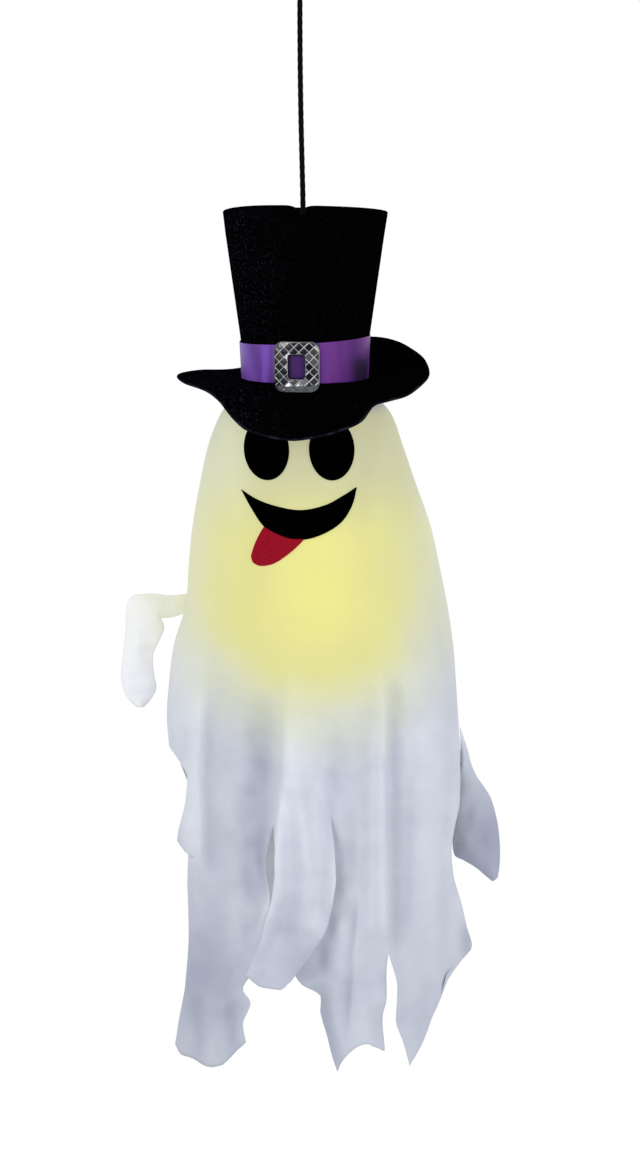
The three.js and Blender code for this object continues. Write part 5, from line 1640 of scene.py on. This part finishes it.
class GHOST_OT_lamp(bpy.types.Operator):
    """Frosted globe with its cap and stem, and the finishes of the battery case and its parts"""

    bl_idname = "ghost.lamp"
    bl_label = "Lamp"

    def execute(self, context):
        settings = context.scene.ghost.lamp
        plastic = kept("case plastic", plain_material, tuple(settings.plastic_colour), 0.45)
        self.globe(settings, plastic)
        self.stem(plastic)
        self.finishes(settings, plastic)
        return {"FINISHED"}

    def globe(self, settings, plastic):
        """A hollow ball turned from two arcs with a straight neck on top, and the cap over the neck."""
        glass = kept("frosted globe", globe_material, tuple(settings.globe_colour), settings.strength)
        radius = settings.globe_radius / MM
        neck, wall, neck_height = 14.0, 1.5, 7
        top = LAMP_Z + math.sqrt(radius**2 - neck**2) + neck_height
        rise = np.linspace(-np.pi / 2, math.acos(neck / radius), 48)
        fall = np.linspace(math.acos((neck - wall) / (radius - wall)), -np.pi / 2, 48)
        outer = np.column_stack([radius * np.cos(rise), LAMP_Z + radius * np.sin(rise)])
        inner = np.column_stack([(radius - wall) * np.cos(fall), LAMP_Z + (radius - wall) * np.sin(fall)])
        outer[0, 0] = inner[-1, 0] = 0
        ring = [(neck, top - 0.5), (neck - 0.5, top), (neck - wall + 0.4, top), (neck - wall, top - 0.5)]
        profile = np.concatenate([outer, ring, inner])
        make_shell("globe", turned(profile, SPIN_X, 96), glass, "ghost", False)
        low, high, hole, edge = top + 0.3, top + 4.3, 6.3, 15.5
        cap = [
            (hole, low), (edge - 0.5, low), (edge, low + 0.5), (edge, high - 1.2), (edge - 1.2, high),
            (hole + 0.8, high), (hole, high - 0.6),
        ]
        make_shell("globe_cap", turned(cap, SPIN_X, 72), plastic, "ghost")

    def stem(self, plastic):
        """A tube from just under the battery case down into the cap."""
        top, length, bore, outside = CASE_LOW - 0.3, 78, 4.5, 6
        low = top - length
        profile = [
            (bore, low), (outside - 0.2, low), (outside, low + 0.3), (outside, top - 0.3),
            (outside - 0.2, top), (bore, top),
        ]
        make_shell("lamp_stem", turned(profile, SPIN_X, 48), plastic, "ghost")

    def finishes(self, settings, plastic):
        """Materials of the nodes whose shape is the model's own."""
        steel = kept("zinc steel", plain_material, paint(186, 188, 193), 0.32, Metallic=1)
        brass = kept("contact brass", plain_material, paint(200, 168, 92), 0.32, Metallic=1)
        cell = kept("cell jacket", plain_material, paint(62, 66, 74), 0.35)
        board = kept("circuit board", plain_material, paint(44, 106, 70), 0.45)
        led = kept("led lens", globe_material, tuple(settings.globe_colour), settings.strength)
        lead = kept("lead sheath", plain_material, paint(28, 28, 30), 0.55)
        for material, names in (
            (plastic, ("battery_case", "battery_cover")), (steel, ("power_switch", "cover_screw")),
            (brass, ("contact_plate_lower", "contact_plate_upper")),
            (cell, ("battery_1", "battery_2", "battery_3")), (board, ("led_board",)),
            (led, ("led_1", "led_2", "led_3")), (lead, ("led_lead",)),
        ):
            for name in names:
                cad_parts[name].material_slots[0].material = material


OPERATORS = (
    GHOST_OT_stage, GHOST_OT_cord, GHOST_OT_crown, GHOST_OT_brim, GHOST_OT_ribbon, GHOST_OT_buckle,
    GHOST_OT_cloth, GHOST_OT_sleeves, GHOST_OT_face, GHOST_OT_frame, GHOST_OT_lamp,
)


class GHOST_PT_panel(bpy.types.Panel):
    """Lists the ghost's sizes, colours and pieces"""

    bl_idname = "GHOST_PT_panel"
    bl_label = "Hanging ghost"
    bl_space_type = "VIEW_3D"
    bl_region_type = "UI"
    bl_category = "Ghost"

    def draw(self, context):
        settings = context.scene.ghost
        for part in ("cord", "hat", "cloth", "glow", "face", "lamp", "stage"):
            box = self.layout.box()
            box.label(text=part.capitalize())
            group = getattr(settings, part)
            for name in group.bl_rna.properties.keys():
                if name not in ("rna_type", "name"):
                    box.prop(group, name)
        for operator in OPERATORS:
            self.layout.operator(operator.bl_idname)


CLASSES = (
    CordSettings, HatSettings, ClothSettings, GlowSettings, FaceSettings, LampSettings, StageSettings,
    GhostSettings, *OPERATORS, GHOST_PT_panel,
)


def register():
    for kind in CLASSES:
        bpy.utils.register_class(kind)
    bpy.types.Scene.ghost = PointerProperty(type=GhostSettings, name="Ghost", description="The hanging ghost")


def unregister():
    del bpy.types.Scene.ghost
    for kind in reversed(CLASSES):
        bpy.utils.unregister_class(kind)


def main():
    register()
    for make_group in (fibre_group, weave_group, wear_group, glow_group):
        make_group()
    for operator in OPERATORS:
        getattr(bpy.ops.ghost, operator.bl_idname.split(".")[1])()


if __name__ == "__main__":
    main()
